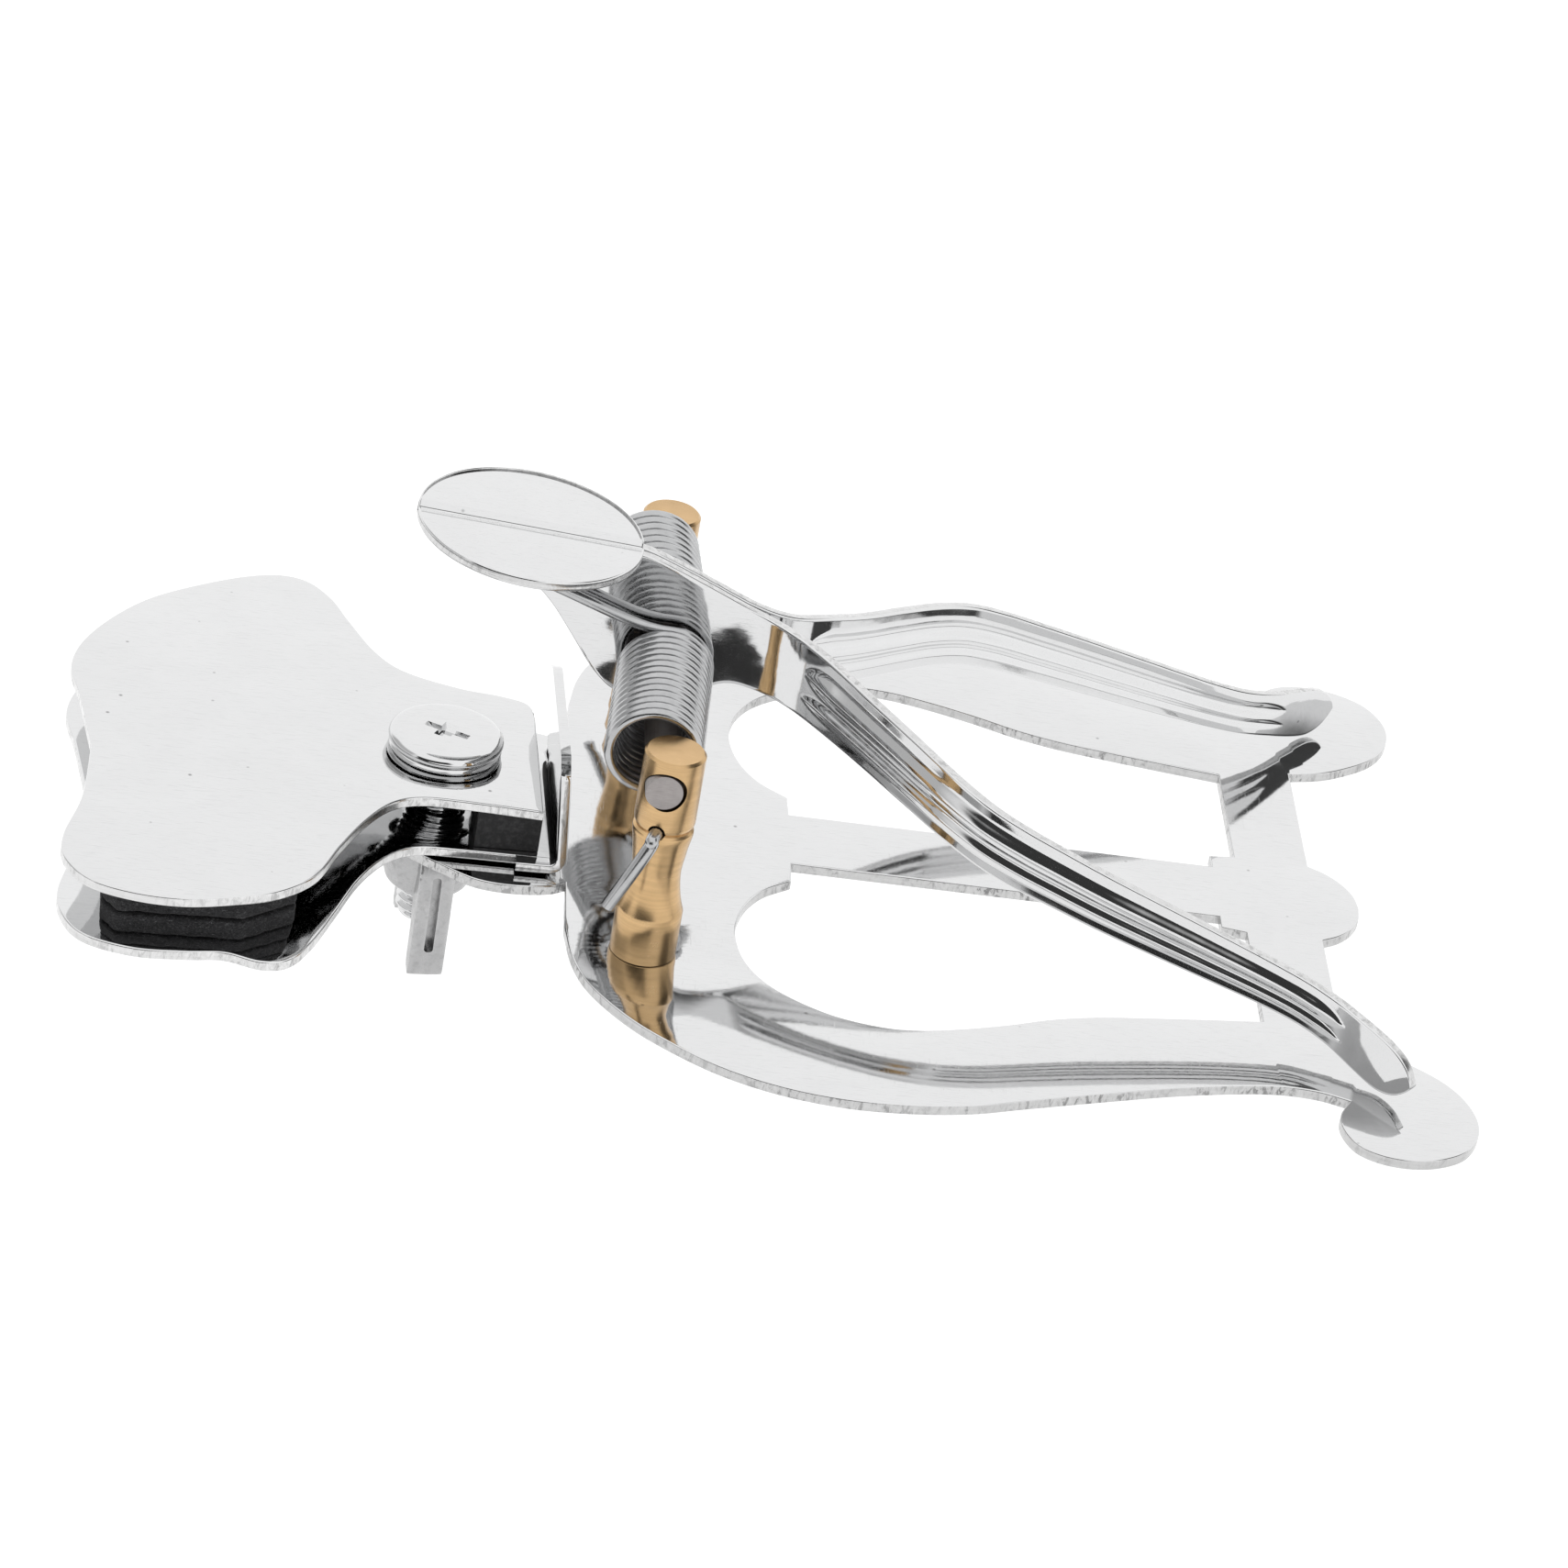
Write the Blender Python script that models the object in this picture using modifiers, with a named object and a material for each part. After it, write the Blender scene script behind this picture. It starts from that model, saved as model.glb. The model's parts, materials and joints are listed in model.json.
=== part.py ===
# Marching lyre: sprung sheet-music clip on a flat lyre plate, with a two-plate bell clamp.
# Metres, +Z up.  The plan is laid out on a 0.9 mm grid: +X runs from the bell clamp to the
# lyre's two ears, Y = 0 is the lyre's line of symmetry, the lyre plate's top face is Z = 0.
import math

import bmesh
import bpy
from mathutils import Matrix, Vector

for ob in list(bpy.data.objects):
    bpy.data.objects.remove(ob, do_unlink=True)

# ---------------------------------------------------------------- driving dimensions
GRID = 0.0009            # plan grid
MID_X = 42.0             # grid X of the middle of the lyre's centre bar, the world origin
LYRE_T = 0.00095         # lyre plate sheet
CLAMP_T = 0.0009         # clamp plate sheet
LEVER_T = 0.0009         # clip arm sheet
GAP = 0.0003             # running gap between touching pieces

POST_X = 7.2             # grid position of the two posts
POST_Y = 22.6
POST_R = 0.00275
POST_NECK_R = 0.00205
POST_H = 0.0192
TENON_R = 0.0018

PIN_X = 6.9              # grid X of the pivot pin
PIN_Z = 0.0165
PIN_R = 0.00155
PIN_BORE_R = 0.00182

WIRE_R = 0.0005
COIL_R = 0.00365         # mean radius of the spring coils
COIL_TURNS = 14
COIL_PITCH = 0.00107

PAD_X = -7.35            # grid centre of the round finger pad
PAD_R = 10.6             # grid radius
PAD_Z = 0.0272           # top face at the pad's centre
PAD_SLOPE = -0.064       # rise per run along X

CLAMP_X = -12.7          # grid position of the middle of the clamp plates' neck
CLAMP_Y = -0.5
CLAMP_TURN = math.radians(3.4)
SCREW_GRID = (0.2, -1.6)  # clamp screw in clamp grid coordinates
LOWER_Z = GAP            # underside of the lower clamp plate
UPPER_Z = 0.0050         # underside of the upper clamp plate
FELT_T = 0.00155
FLANGE_H = 0.0108
SCREW_R = 0.0023
SCREW_PITCH = 0.0008
SCREW_HOLE_R = 0.0028
HEAD_R = 0.0048
WASHER_R = 0.0051
SCREW_END = -0.0105
WING_TURN = math.radians(-82.0)


# ---------------------------------------------------------------- helpers
def gx(x):
    return (x - MID_X) * GRID


def gp(x, y):
    return (gx(x), y * GRID)


def clamp_xy(x, y):
    """Clamp grid coordinates, origin at the middle of the plates' neck, to world X, Y."""
    c, s = math.cos(CLAMP_TURN), math.sin(CLAMP_TURN)
    return gp(CLAMP_X + c * x - s * y, CLAMP_Y + s * x + c * y)


def smooth(points, per=4):
    """A Catmull-Rom run through the given control points, ends included."""
    pts = [Vector(p) for p in points]
    ext = [pts[0] * 2 - pts[1]] + pts + [pts[-1] * 2 - pts[-2]]
    out = []
    for i in range(1, len(ext) - 2):
        p0, p1, p2, p3 = ext[i - 1], ext[i], ext[i + 1], ext[i + 2]
        for k in range(per):
            t = k / per
            out.append(0.5 * (2 * p1 + (p2 - p0) * t + (2 * p0 - 5 * p1 + 4 * p2 - p3) * t * t
                              + (3 * p1 - p0 - 3 * p2 + p3) * t ** 3))
    out.append(pts[-1])
    return [tuple(p) for p in out]


def smooth_at(table, x):
    """Smooth interpolation of a table of (x, value) control points."""
    n = len(table)
    i = max(0, min(n - 2, sum(1 for p in table if p[0] <= x) - 1))
    x0, x1 = table[i][0], table[i + 1][0]
    y0, y1 = table[i][1], table[i + 1][1]

    def slope(j):
        a, b = table[max(0, j - 1)], table[min(n - 1, j + 1)]
        return (b[1] - a[1]) / (b[0] - a[0])

    h = x1 - x0
    t = (x - x0) / h
    m0, m1 = slope(i) * h, slope(i + 1) * h
    return ((2 * t ** 3 - 3 * t * t + 1) * y0 + (t ** 3 - 2 * t * t + t) * m0
            + (3 * t * t - 2 * t ** 3) * y1 + (t ** 3 - t * t) * m1)


def circle(cx, cy, r, n=32):
    return [(cx + r * math.cos(2 * math.pi * k / n), cy + r * math.sin(2 * math.pi * k / n))
            for k in range(n)]


parts = bpy.data.collections.new("marching_lyre")
cutters = bpy.data.collections.new("cutters")
bpy.context.scene.collection.children.link(parts)
bpy.context.scene.collection.children.link(cutters)


def material(name, colour, metallic, roughness):
    m = bpy.data.materials.new(name)
    m.use_nodes = True
    b = m.node_tree.nodes["Principled BSDF"]
    b.inputs["Base Color"].default_value = (*colour, 1.0)
    b.inputs["Metallic"].default_value = metallic
    b.inputs["Roughness"].default_value = roughness
    m.diffuse_color = (*colour, 1.0)
    return m


def add_object(name, data, coll=parts):
    ob = bpy.data.objects.new(name, data)
    coll.objects.link(ob)
    return ob


def to_mesh(ob, name, coll=parts):
    """Freeze an object with its modifiers as a plain welded mesh in world space."""
    bpy.context.view_layer.update()
    deps = bpy.context.evaluated_depsgraph_get()
    me = bpy.data.meshes.new_from_object(ob.evaluated_get(deps))
    me.transform(ob.matrix_world)
    bm = bmesh.new()
    bm.from_mesh(me)
    bmesh.ops.remove_doubles(bm, verts=bm.verts, dist=1e-6)
    bmesh.ops.recalc_face_normals(bm, faces=bm.faces)
    bm.to_mesh(me)
    bm.free()
    me.name = name
    bpy.data.objects.remove(ob, do_unlink=True)
    return add_object(name, me, coll)


def prism(name, outline, z0, z1, holes=(), coll=parts):
    """A flat sheet cut to a closed outline, from z0 to z1."""
    cu = bpy.data.curves.new(name + "_outline", "CURVE")
    cu.dimensions = "2D"
    cu.fill_mode = "BOTH"
    cu.extrude = (z1 - z0) / 2
    for loop in (outline, *holes):
        sp = cu.splines.new("POLY")
        sp.points.add(len(loop) - 1)
        for p, q in zip(sp.points, loop):
            p.co = (q[0], q[1], 0.0, 1.0)
        sp.use_cyclic_u = True
    ob = add_object(name + "_curve", cu, coll)
    ob.location = (0, 0, (z0 + z1) / 2)
    return to_mesh(ob, name, coll)


def turned(name, profile, steps, at, coll=parts):
    """A body turned about the vertical through at; profile is (radius, z), top to bottom."""
    bm = bmesh.new()
    vs = [bm.verts.new((r, 0.0, z)) for r, z in profile]
    for a, b in zip(vs[:-1], vs[1:]):
        bm.edges.new((a, b))
    me = bpy.data.meshes.new(name)
    bm.to_mesh(me)
    bm.free()
    ob = add_object(name + "_profile", me, coll)
    ob.location = at
    m = ob.modifiers.new("turn", "SCREW")
    m.axis = "Z"
    m.steps = m.render_steps = steps
    m.use_merge_vertices = True
    m.merge_threshold = 0.00001
    m.use_normal_calculate = True
    return to_mesh(ob, name, coll)


def boolean(ob, other, how):
    m = ob.modifiers.new(how.lower(), "BOOLEAN")
    m.operation = how
    m.solver = "EXACT"
    m.object = other
    name, coll = ob.name, ob.users_collection[0]
    ob.name = name + "_raw"
    out = to_mesh(ob, name, coll)
    bpy.data.objects.remove(other, do_unlink=True)
    return out


def rod(name, a, b, r, n=24, coll=cutters):
    """A plain cylinder from point a to point b."""
    a, b = Vector(a), Vector(b)
    bm = bmesh.new()
    bmesh.ops.create_cone(bm, cap_ends=True, segments=n, radius1=r, radius2=r,
                          depth=(b - a).length)
    me = bpy.data.meshes.new(name)
    bm.to_mesh(me)
    bm.free()
    ob = add_object(name, me, coll)
    ob.matrix_world = Matrix.Translation((a + b) / 2) @ (b - a).to_track_quat("Z", "Y").to_matrix().to_4x4()
    return ob


def block(name, size, matrix, coll=cutters):
    bm = bmesh.new()
    bmesh.ops.create_cube(bm, size=1.0)
    bmesh.ops.scale(bm, verts=bm.verts, vec=size)
    me = bpy.data.meshes.new(name)
    bm.to_mesh(me)
    bm.free()
    ob = add_object(name, me, coll)
    ob.matrix_world = matrix
    return ob


def finish(ob, mat, smooth_angle=None):
    ob.data.materials.clear()
    ob.data.materials.append(mat)
    for p in ob.data.polygons:
        p.use_smooth = False
        p.material_index = 0
    if smooth_angle is not None:
        ob.data.shade_smooth()
        ob.data.set_sharp_from_angle(angle=math.radians(smooth_angle))
    return ob


def set_origin(ob, point):
    """Put the object's origin on a point, such as one on its joint's axis."""
    p = Vector(point)
    ob.data.transform(Matrix.Translation(-p))
    ob.location = p


# ---------------------------------------------------------------- lyre plate
OUTER = [(0.0, 20.5), (0.8, 25.5), (2.4, 29.6), (5.5, 33.8), (9.0, 37.0), (14.0, 40.3), (19.5, 42.4),
         (25.5, 43.3), (31.5, 43.0), (37.0, 41.9), (42.0, 40.1), (49.0, 37.6), (57.0, 34.9),
         (64.5, 33.1), (69.0, 33.0), (72.2, 33.9)]
EAR = [(72.2, 33.9), (71.1, 36.2), (71.0, 38.4), (72.0, 40.8), (74.0, 42.1), (76.6, 42.5), (79.5, 41.9),
       (82.1, 40.2), (83.6, 37.6), (84.0, 34.8), (83.3, 31.8), (81.7, 29.2), (79.3, 27.1), (76.3, 25.3),
       (72.7, 24.2)]
TAB = [(72.7, 6.7), (74.4, 5.6), (75.8, 4.0), (76.7, 2.1), (77.0, 0.0)]
TONGUE = [(0.0, 12.8), (-1.6, 13.7), (-4.8, 14.3), (-8.2, 14.0), (-11.2, 12.4), (-14.8, 10.0),
          (-18.3, 7.0), (-20.4, 3.6), (-21.0, 0.0)]
WINDOW = [(21.4, 7.6), (18.6, 10.0), (16.7, 13.5), (15.9, 18.0), (16.8, 22.8), (19.4, 26.6), (24.0, 29.6),
          (28.6, 30.8), (32.4, 30.7), (36.6, 29.6), (41.0, 28.0), (45.2, 26.2), (49.6, 24.9),
          (54.5, 24.0), (60.0, 23.1), (65.3, 22.3)]


def lyre_outline():
    half = smooth(TONGUE[::-1]) + smooth(OUTER) + smooth(EAR)[1:] + smooth(TAB)
    return [gp(x, y) for x, y in half] + [gp(x, -y) for x, y in half[-2:0:-1]]


def window(side):
    loop = smooth(WINDOW) + [(65.3, 6.8), (62.9, 6.4), (62.9, 4.45), (21.5, 4.45)]
    return [gp(x, side * y) for x, y in loop]


screw_at = clamp_xy(*SCREW_GRID)
holes = [window(1), window(-1), circle(*screw_at, SCREW_HOLE_R)]
for s in (1, -1):
    holes.append(circle(gx(POST_X), s * POST_Y * GRID, TENON_R + GAP, 24))


def clear_bar(ob):
    """Makes the centre bar one plain rectangle on both faces, where the spine of the music rests."""
    x0, x1, y = gx(24.6), gx(60.3), 4.45 * GRID + 1e-6
    bm = bmesh.new()
    bm.from_mesh(ob.data)
    for x in (x0, x1):
        bmesh.ops.bisect_plane(bm, geom=bm.verts[:] + bm.edges[:] + bm.faces[:], dist=1e-7,
                               plane_co=(x, 0, 0), plane_no=(1, 0, 0))
    for up in (1, -1):
        bar = [f for f in bm.faces if f.normal.z * up > 0.99
               and all(x0 - 1e-6 < v.co.x < x1 + 1e-6 and abs(v.co.y) < y for v in f.verts)]
        bmesh.ops.dissolve_faces(bm, faces=bar, use_verts=False)
    bm.to_mesh(ob.data)
    bm.free()
    return ob


lyre = clear_bar(prism("lyre_plate", lyre_outline(), -LYRE_T, 0.0, holes))


# ---------------------------------------------------------------- posts and pin
def post(name, side):
    """Brass post: turned waist, cross hole for the pin, small hole for the spring end, riveted
    under the plate."""
    z = GAP
    profile = [(0.0, POST_H), (POST_R - 0.0003, POST_H), (POST_R, POST_H - 0.0003),
               (POST_R, 0.0125), (POST_R - 0.0002, 0.0123), (POST_R - 0.0002, 0.0121),
               (POST_R, 0.0119), (POST_R - 0.0001, 0.0112), (0.00243, 0.0104),
               (0.00217, 0.0094), (POST_NECK_R, 0.0083), (0.00208, 0.0072), (0.00226, 0.0060),
               (0.00252, 0.0050), (POST_R, 0.0044), (POST_R, z), (TENON_R, z),
               (TENON_R, -LYRE_T - z), (0.0027, -LYRE_T - z), (0.0026, -LYRE_T - z - 0.0004),
               (0.0020, -LYRE_T - z - 0.0008), (0.0, -LYRE_T - z - 0.0010)]
    ob = turned(name, profile, 32, (gx(POST_X), side * POST_Y * GRID, 0.0))
    y = POST_Y * GRID
    bore = rod("pin_bore", (gx(PIN_X), side * (y - 0.006), PIN_Z), (gx(PIN_X), side * (y + 0.006), PIN_Z),
               PIN_BORE_R)
    ob = boolean(ob, bore, "DIFFERENCE")
    a, b = leg_hole(side)
    d = (b - a).normalized()
    return boolean(ob, rod("leg_bore", a - d * 0.002, b + d * 0.002, WIRE_R + 0.00028, 16), "DIFFERENCE")


def leg_hole(side):
    """The line the spring's end takes through the post."""
    return (Vector((gx(8.3), side * 19.4 * GRID, 0.01345)), Vector((gx(6.3), side * 25.6 * GRID, 0.01255)))


near_post = post("near_post", -1)
far_post = post("far_post", 1)
PIN_END = (POST_Y * GRID + POST_R) - 0.0002
pin = to_mesh(rod("pin_raw", (gx(PIN_X), -PIN_END, PIN_Z), (gx(PIN_X), PIN_END, PIN_Z), PIN_R, 32,
                  parts), "pivot_pin")


# ---------------------------------------------------------------- torsion springs
def spring(name, side):
    """Close-wound coil round the pin: one end leans up under the finger pad, the other goes
    through the post."""
    y_in = 0.00205                     # coil's first turn beside the web
    n = 16
    pts = []
    # leg under the pad, tangent to the coil's top
    top = PIN_Z - 0.0002 + COIL_R
    pts.append((gx(-13.2), side * y_in, 0.02515))
    pts.append((gx(-5.0), side * y_in, 0.0229))
    pts.append((gx(3.5), side * y_in, top + 0.0003))
    for k in range(COIL_TURNS * n + n // 4 + 3):
        a = math.pi / 2 - 2 * math.pi * k / n
        f = k / (COIL_TURNS * n)
        cx = gx(PIN_X) - 0.0001 - 0.0011 * min(1.0, f)
        cz = PIN_Z - 0.0002 + 0.0005 * min(1.0, f)
        y = y_in + COIL_PITCH * k / n
        if k == 0:
            continue
        pts.append((cx + COIL_R * math.cos(a), side * y, cz + COIL_R * math.sin(a)))
    a, b = leg_hole(side)
    last = pts[-1]
    pts.append((gx(9.2), side * 18.7 * GRID, 0.01385))
    d = (b - a).normalized()
    pts.append(tuple(a))
    pts.append(tuple(b + d * 0.0002))
    pts.append((gx(6.0), side * 26.35 * GRID, 0.0119))
    pts.append((gx(4.6), side * 26.75 * GRID, 0.0092))
    pts.append((gx(3.0), side * 26.9 * GRID, 0.0061))
    cu = bpy.data.curves.new(name + "_wire", "CURVE")
    cu.dimensions = "3D"
    cu.bevel_depth = WIRE_R
    cu.bevel_resolution = 2
    cu.use_fill_caps = True
    sp = cu.splines.new("POLY")
    sp.points.add(len(pts) - 1)
    for p, q in zip(sp.points, pts):
        p.co = (*q, 1.0)
    return to_mesh(add_object(name + "_curve", cu), name)


near_spring = spring("near_torsion_spring", -1)
far_spring = spring("far_torsion_spring", 1)

# ---------------------------------------------------------------- clip arms
# Plan path of one arm's sheet, and the heights of its top and bottom edges, in grid units.
ARM_PATH = [(-14.0, 0.67), (0.0, 0.67), (12.0, 0.67), (15.5, 0.8), (18.0, 1.5), (20.0, 2.7), (23.0, 5.3),
            (26.5, 8.8), (30.0, 12.5), (33.5, 16.1), (37.0, 18.9), (40.5, 20.4), (44.5, 21.4),
            (49.0, 22.4), (54.0, 23.3), (59.0, 24.2), (64.0, 25.2), (67.5, 26.3), (70.5, 28.1),
            (73.0, 30.3), (75.5, 32.7), (77.2, 34.3)]
ARM_TOP = [(-14.0, 30.1), (0.0, 29.2), (3.5, 29.0), (6.6, 27.9), (10.8, 26.1), (14.0, 24.7), (17.7, 23.4),
           (21.6, 22.3), (25.6, 20.9), (30.0, 19.6), (38.5, 16.9), (47.3, 14.0), (56.4, 11.1),
           (65.2, 8.3), (70.5, 6.9), (74.0, 6.0), (76.0, 5.1), (77.2, 3.6)]
ARM_BOTTOM = [(-14.0, 29.4), (-11.0, 28.0), (-8.0, 26.0), (-4.7, 23.0), (-2.0, 19.4), (0.0, 16.6),
              (2.0, 14.7), (4.5, 13.8), (7.5, 14.0), (10.0, 15.4), (12.7, 16.6), (15.5, 16.3),
              (18.5, 15.6), (22.5, 14.6), (27.0, 13.5), (33.6, 11.8), (40.6, 9.9), (48.5, 7.7),
              (57.5, 5.4), (66.0, 3.3), (70.0, 2.2), (73.0, 1.0), (75.0, 0.45), (76.3, 0.8),
              (77.2, 1.9)]
RIB_FROM, RIB_TO = 20.5, 71.0
RIB_H = 0.00045


def rib(x, v):
    """Relief of the two embossed ribs at plan X and height fraction v (0 bottom, 1 top)."""
    run = max(0.0, min(1.0, (x - RIB_FROM) / 3.0)) * max(0.0, min(1.0, (RIB_TO - x) / 3.0))
    h = 0.0
    for c in (0.34, 0.66):
        d = abs(v - c) / 0.15
        if d < 1.0:
            h = max(h, 0.5 + 0.5 * math.cos(math.pi * d))
    return RIB_H * run * h


def arm(name, side):
    cols = [-14.0, -11.0, -8.0, -6.0, -4.0, -2.0, -0.5, 1.0, 3.0, 5.0, 7.0, 9.0, 11.0, 13.0]
    cols += [14.5 + 1.25 * k for k in range(5)]
    x = 20.5
    while x < 40.0:
        cols.append(x)
        x += 1.3
    while x < 66.0:
        cols.append(x)
        x += 2.2
    while x < 77.0:
        cols.append(x)
        x += 0.9
    cols.append(77.2)
    rows = [0.0, 0.1, 0.19, 0.265, 0.34, 0.42, 0.5, 0.58, 0.66, 0.735, 0.81, 0.9, 1.0]
    bm = bmesh.new()
    grid = []
    for x in cols:
        y = smooth_at(ARM_PATH, x)
        e = 0.05
        dy = (smooth_at(ARM_PATH, x + e) - smooth_at(ARM_PATH, x - e)) / (2 * e) if -13 < x < 77 else 0.0
        if x >= 77:
            dy = (smooth_at(ARM_PATH, x) - smooth_at(ARM_PATH, x - e)) / e
        n = Vector((-dy, 1.0)).normalized()
        top, bottom = smooth_at(ARM_TOP, x), smooth_at(ARM_BOTTOM, x)
        col = []
        for v in rows:
            z = bottom + (top - bottom) * v
            r = rib(x, v)
            col.append(bm.verts.new((gx(x) + n.x * r, side * (y * GRID + n.y * r), z * GRID)))
        grid.append(col)
    for a, b in zip(grid[:-1], grid[1:]):
        for j in range(len(rows) - 1):
            bm.faces.new((a[j], b[j], b[j + 1], a[j + 1]))
    bmesh.ops.recalc_face_normals(bm, faces=bm.faces)
    me = bpy.data.meshes.new(name)
    bm.to_mesh(me)
    bm.free()
    ob = add_object(name + "_sheet", me)
    m = ob.modifiers.new("thickness", "SOLIDIFY")
    m.thickness = LEVER_T
    m.offset = 0.0
    m.use_even_offset = True
    ob = to_mesh(ob, name)
    # half-round finger pad folded out from the web's top edge
    n = 28
    loop = [(gx(PAD_X) + PAD_R * GRID * math.cos(math.pi * k / n),
             side * (0.00016 + (PAD_R * GRID - 0.00016) * math.sin(math.pi * k / n))) for k in range(n + 1)]
    pad = prism(name + "_pad", loop, -LEVER_T, 0.0, coll=cutters)
    tilt = Matrix.Rotation(-math.atan(PAD_SLOPE), 4, "Y")
    pad.data.transform(Matrix.Translation((gx(PAD_X), 0, PAD_Z)) @ tilt @ Matrix.Translation((-gx(PAD_X), 0, 0)))
    ob = boolean(ob, pad, "UNION")
    bore = rod("web_bore", (gx(PIN_X), side * -0.001, PIN_Z), (gx(PIN_X), side * 0.004, PIN_Z), PIN_BORE_R, 28)
    ob = boolean(ob, bore, "DIFFERENCE")
    return ob


near_arm = arm("near_clip_arm", -1)
far_arm = arm("far_clip_arm", 1)

# ---------------------------------------------------------------- bell clamp plates
FAR_LOBE = [(9.1, 5.6), (8.5, 8.0), (6.0, 9.1), (1.9, 9.9), (-3.2, 12.1), (-6.0, 15.4), (-8.4, 20.8),
            (-10.2, 25.2), (-12.8, 28.2), (-16.4, 28.5), (-21.6, 26.1), (-28.2, 21.2), (-33.0, 14.3),
            (-34.9, 8.0), (-33.9, 1.5), (-32.7, -7.0)]
UPPER_LOBE = [(-32.7, -7.0), (-33.3, -15.8), (-34.8, -22.6), (-34.6, -26.6), (-32.4, -29.8), (-28.6, -31.4),
              (-24.0, -31.8), (-19.4, -30.8), (-15.4, -29.2), (-12.1, -26.0), (-9.9, -20.8), (-7.5, -15.9),
              (-5.0, -12.4), (-2.2, -11.0), (2.0, -11.0), (9.1, -11.6)]
LOWER_LOBE = [(-32.7, -7.0), (-33.4, -16.0), (-34.8, -23.4), (-34.4, -27.6), (-32.4, -30.8), (-28.0, -32.4),
              (-23.4, -32.3), (-19.8, -31.9), (-16.6, -32.9), (-14.0, -32.2), (-11.9, -28.9), (-9.8, -23.6),
              (-7.5, -17.6), (-5.0, -13.4), (-2.2, -11.3), (1.9, -11.0), (11.2, -11.2)]


def clamp_plate(name, lobe, far, z0):
    loop = smooth(far, 3) + smooth(lobe, 3)[1:]
    return prism(name, [clamp_xy(x, y) for x, y in loop], z0, z0 + CLAMP_T,
                 [circle(*screw_at, SCREW_HOLE_R)])


upper_plate = clamp_plate("upper_clamp_plate", UPPER_LOBE, FAR_LOBE, UPPER_Z)
lower_plate = clamp_plate("lower_clamp_plate", LOWER_LOBE, [(11.2, 9.6), (6.0, 9.7)] + FAR_LOBE[3:], LOWER_Z)


def flange():
    """Upright stop at the lower plate's inner end, folded up from the sheet."""
    t = 0.00042
    r = 0.0011
    lean = math.radians(5.0)
    x0, x1 = 7.0 * GRID, 11.2 * GRID
    zc = LOWER_Z + CLAMP_T / 2
    mid = [(x0, zc)]
    n = 6
    turn = math.pi / 2 + lean
    for k in range(n + 1):
        a = turn * k / n
        mid.append((x1 - r + r * math.sin(a), zc + r - r * math.cos(a)))
    d = Vector((-math.sin(lean), math.cos(lean)))
    ex, ez = mid[-1]
    run = (FLANGE_H - ez) / d.y
    mid.append((ex + d.x * run, FLANGE_H))
    left, right = [], []
    for i, p in enumerate(mid):
        a = Vector(mid[max(0, i - 1)])
        b = Vector(mid[min(len(mid) - 1, i + 1)])
        u = (b - a).normalized()
        left.append((p[0] - u.y * t, p[1] + u.x * t))
        right.append((p[0] + u.y * t, p[1] - u.x * t))
    ob = prism("flange", right + left[::-1], -0.5 * 20.4 * GRID, 0.5 * 20.4 * GRID, coll=cutters)
    ob.data.transform(Matrix.Rotation(math.pi / 2, 4, "X"))
    ob.data.transform(Matrix.Translation((0, -0.6 * GRID, 0)))
    ob.data.transform(Matrix.Rotation(CLAMP_TURN, 4, "Z"))
    ob.data.transform(Matrix.Translation((*screw_at, 0)))
    return ob


lower_plate = boolean(lower_plate, flange(), "UNION")

FELT = [(-13.6, -30.4), (-13.6, 25.8), (-20.0, 24.6), (-26.5, 19.8), (-31.0, 13.6), (-31.0, -28.2),
        (-29.6, -30.4)]


def felt(name, z0):
    loop = [clamp_xy(x, y) for x, y in FELT]
    return prism(name, loop, z0, z0 + FELT_T)


lower_felt = felt("lower_felt_pad", LOWER_Z + CLAMP_T + 0.00012)
upper_felt = felt("upper_felt_pad", UPPER_Z - 0.00012 - FELT_T)

# dark block that keeps the two plates apart at the neck, between the screw and the flange
SPACER = [(3.3, -10.3), (9.3, -10.3), (9.3, 8.8), (3.3, 8.8)]
spacer = prism("neck_spacer", [clamp_xy(x, y) for x, y in SPACER], LOWER_Z + CLAMP_T + GAP, UPPER_Z - 0.0005)

# ---------------------------------------------------------------- screw, washer and wing nut
HEAD_Z = UPPER_Z + CLAMP_T + 0.00112
WASHER_Z = UPPER_Z + CLAMP_T + 0.00016


def screw():
    top = HEAD_Z + 0.00115
    profile = [(0.0, top), (HEAD_R - 0.0005, top), (HEAD_R - 0.0001, top - 0.0003), (HEAD_R, top - 0.0007),
               (HEAD_R - 0.0003, HEAD_Z), (SCREW_R, HEAD_Z), (SCREW_R, UPPER_Z + CLAMP_T)]
    z = UPPER_Z + CLAMP_T - 0.0001
    while z - SCREW_PITCH > SCREW_END + 0.0004:
        if z > LOWER_Z + CLAMP_T or z < -LYRE_T - GAP - 0.0056:
            profile += [(SCREW_R, z), (SCREW_R, z - 0.15 * SCREW_PITCH),
                        (SCREW_R - 0.00032, z - 0.5 * SCREW_PITCH), (SCREW_R, z - 0.85 * SCREW_PITCH)]
        z -= SCREW_PITCH
    profile += [(SCREW_R, z), (SCREW_R - 0.0005, SCREW_END), (0.0, SCREW_END)]
    ob = turned("clamp_screw", profile, 24, (*screw_at, 0.0))
    for k, (long, wide) in enumerate(((0.0046, 0.0009), (0.0046, 0.0009))):
        m = Matrix.Translation((*screw_at, top)) @ Matrix.Rotation(math.radians(-24 + 90 * k), 4, "Z")
        ob = boolean(ob, block("recess", (long, wide, 0.0014 + 0.0001 * k), m), "DIFFERENCE")
    return ob


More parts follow.
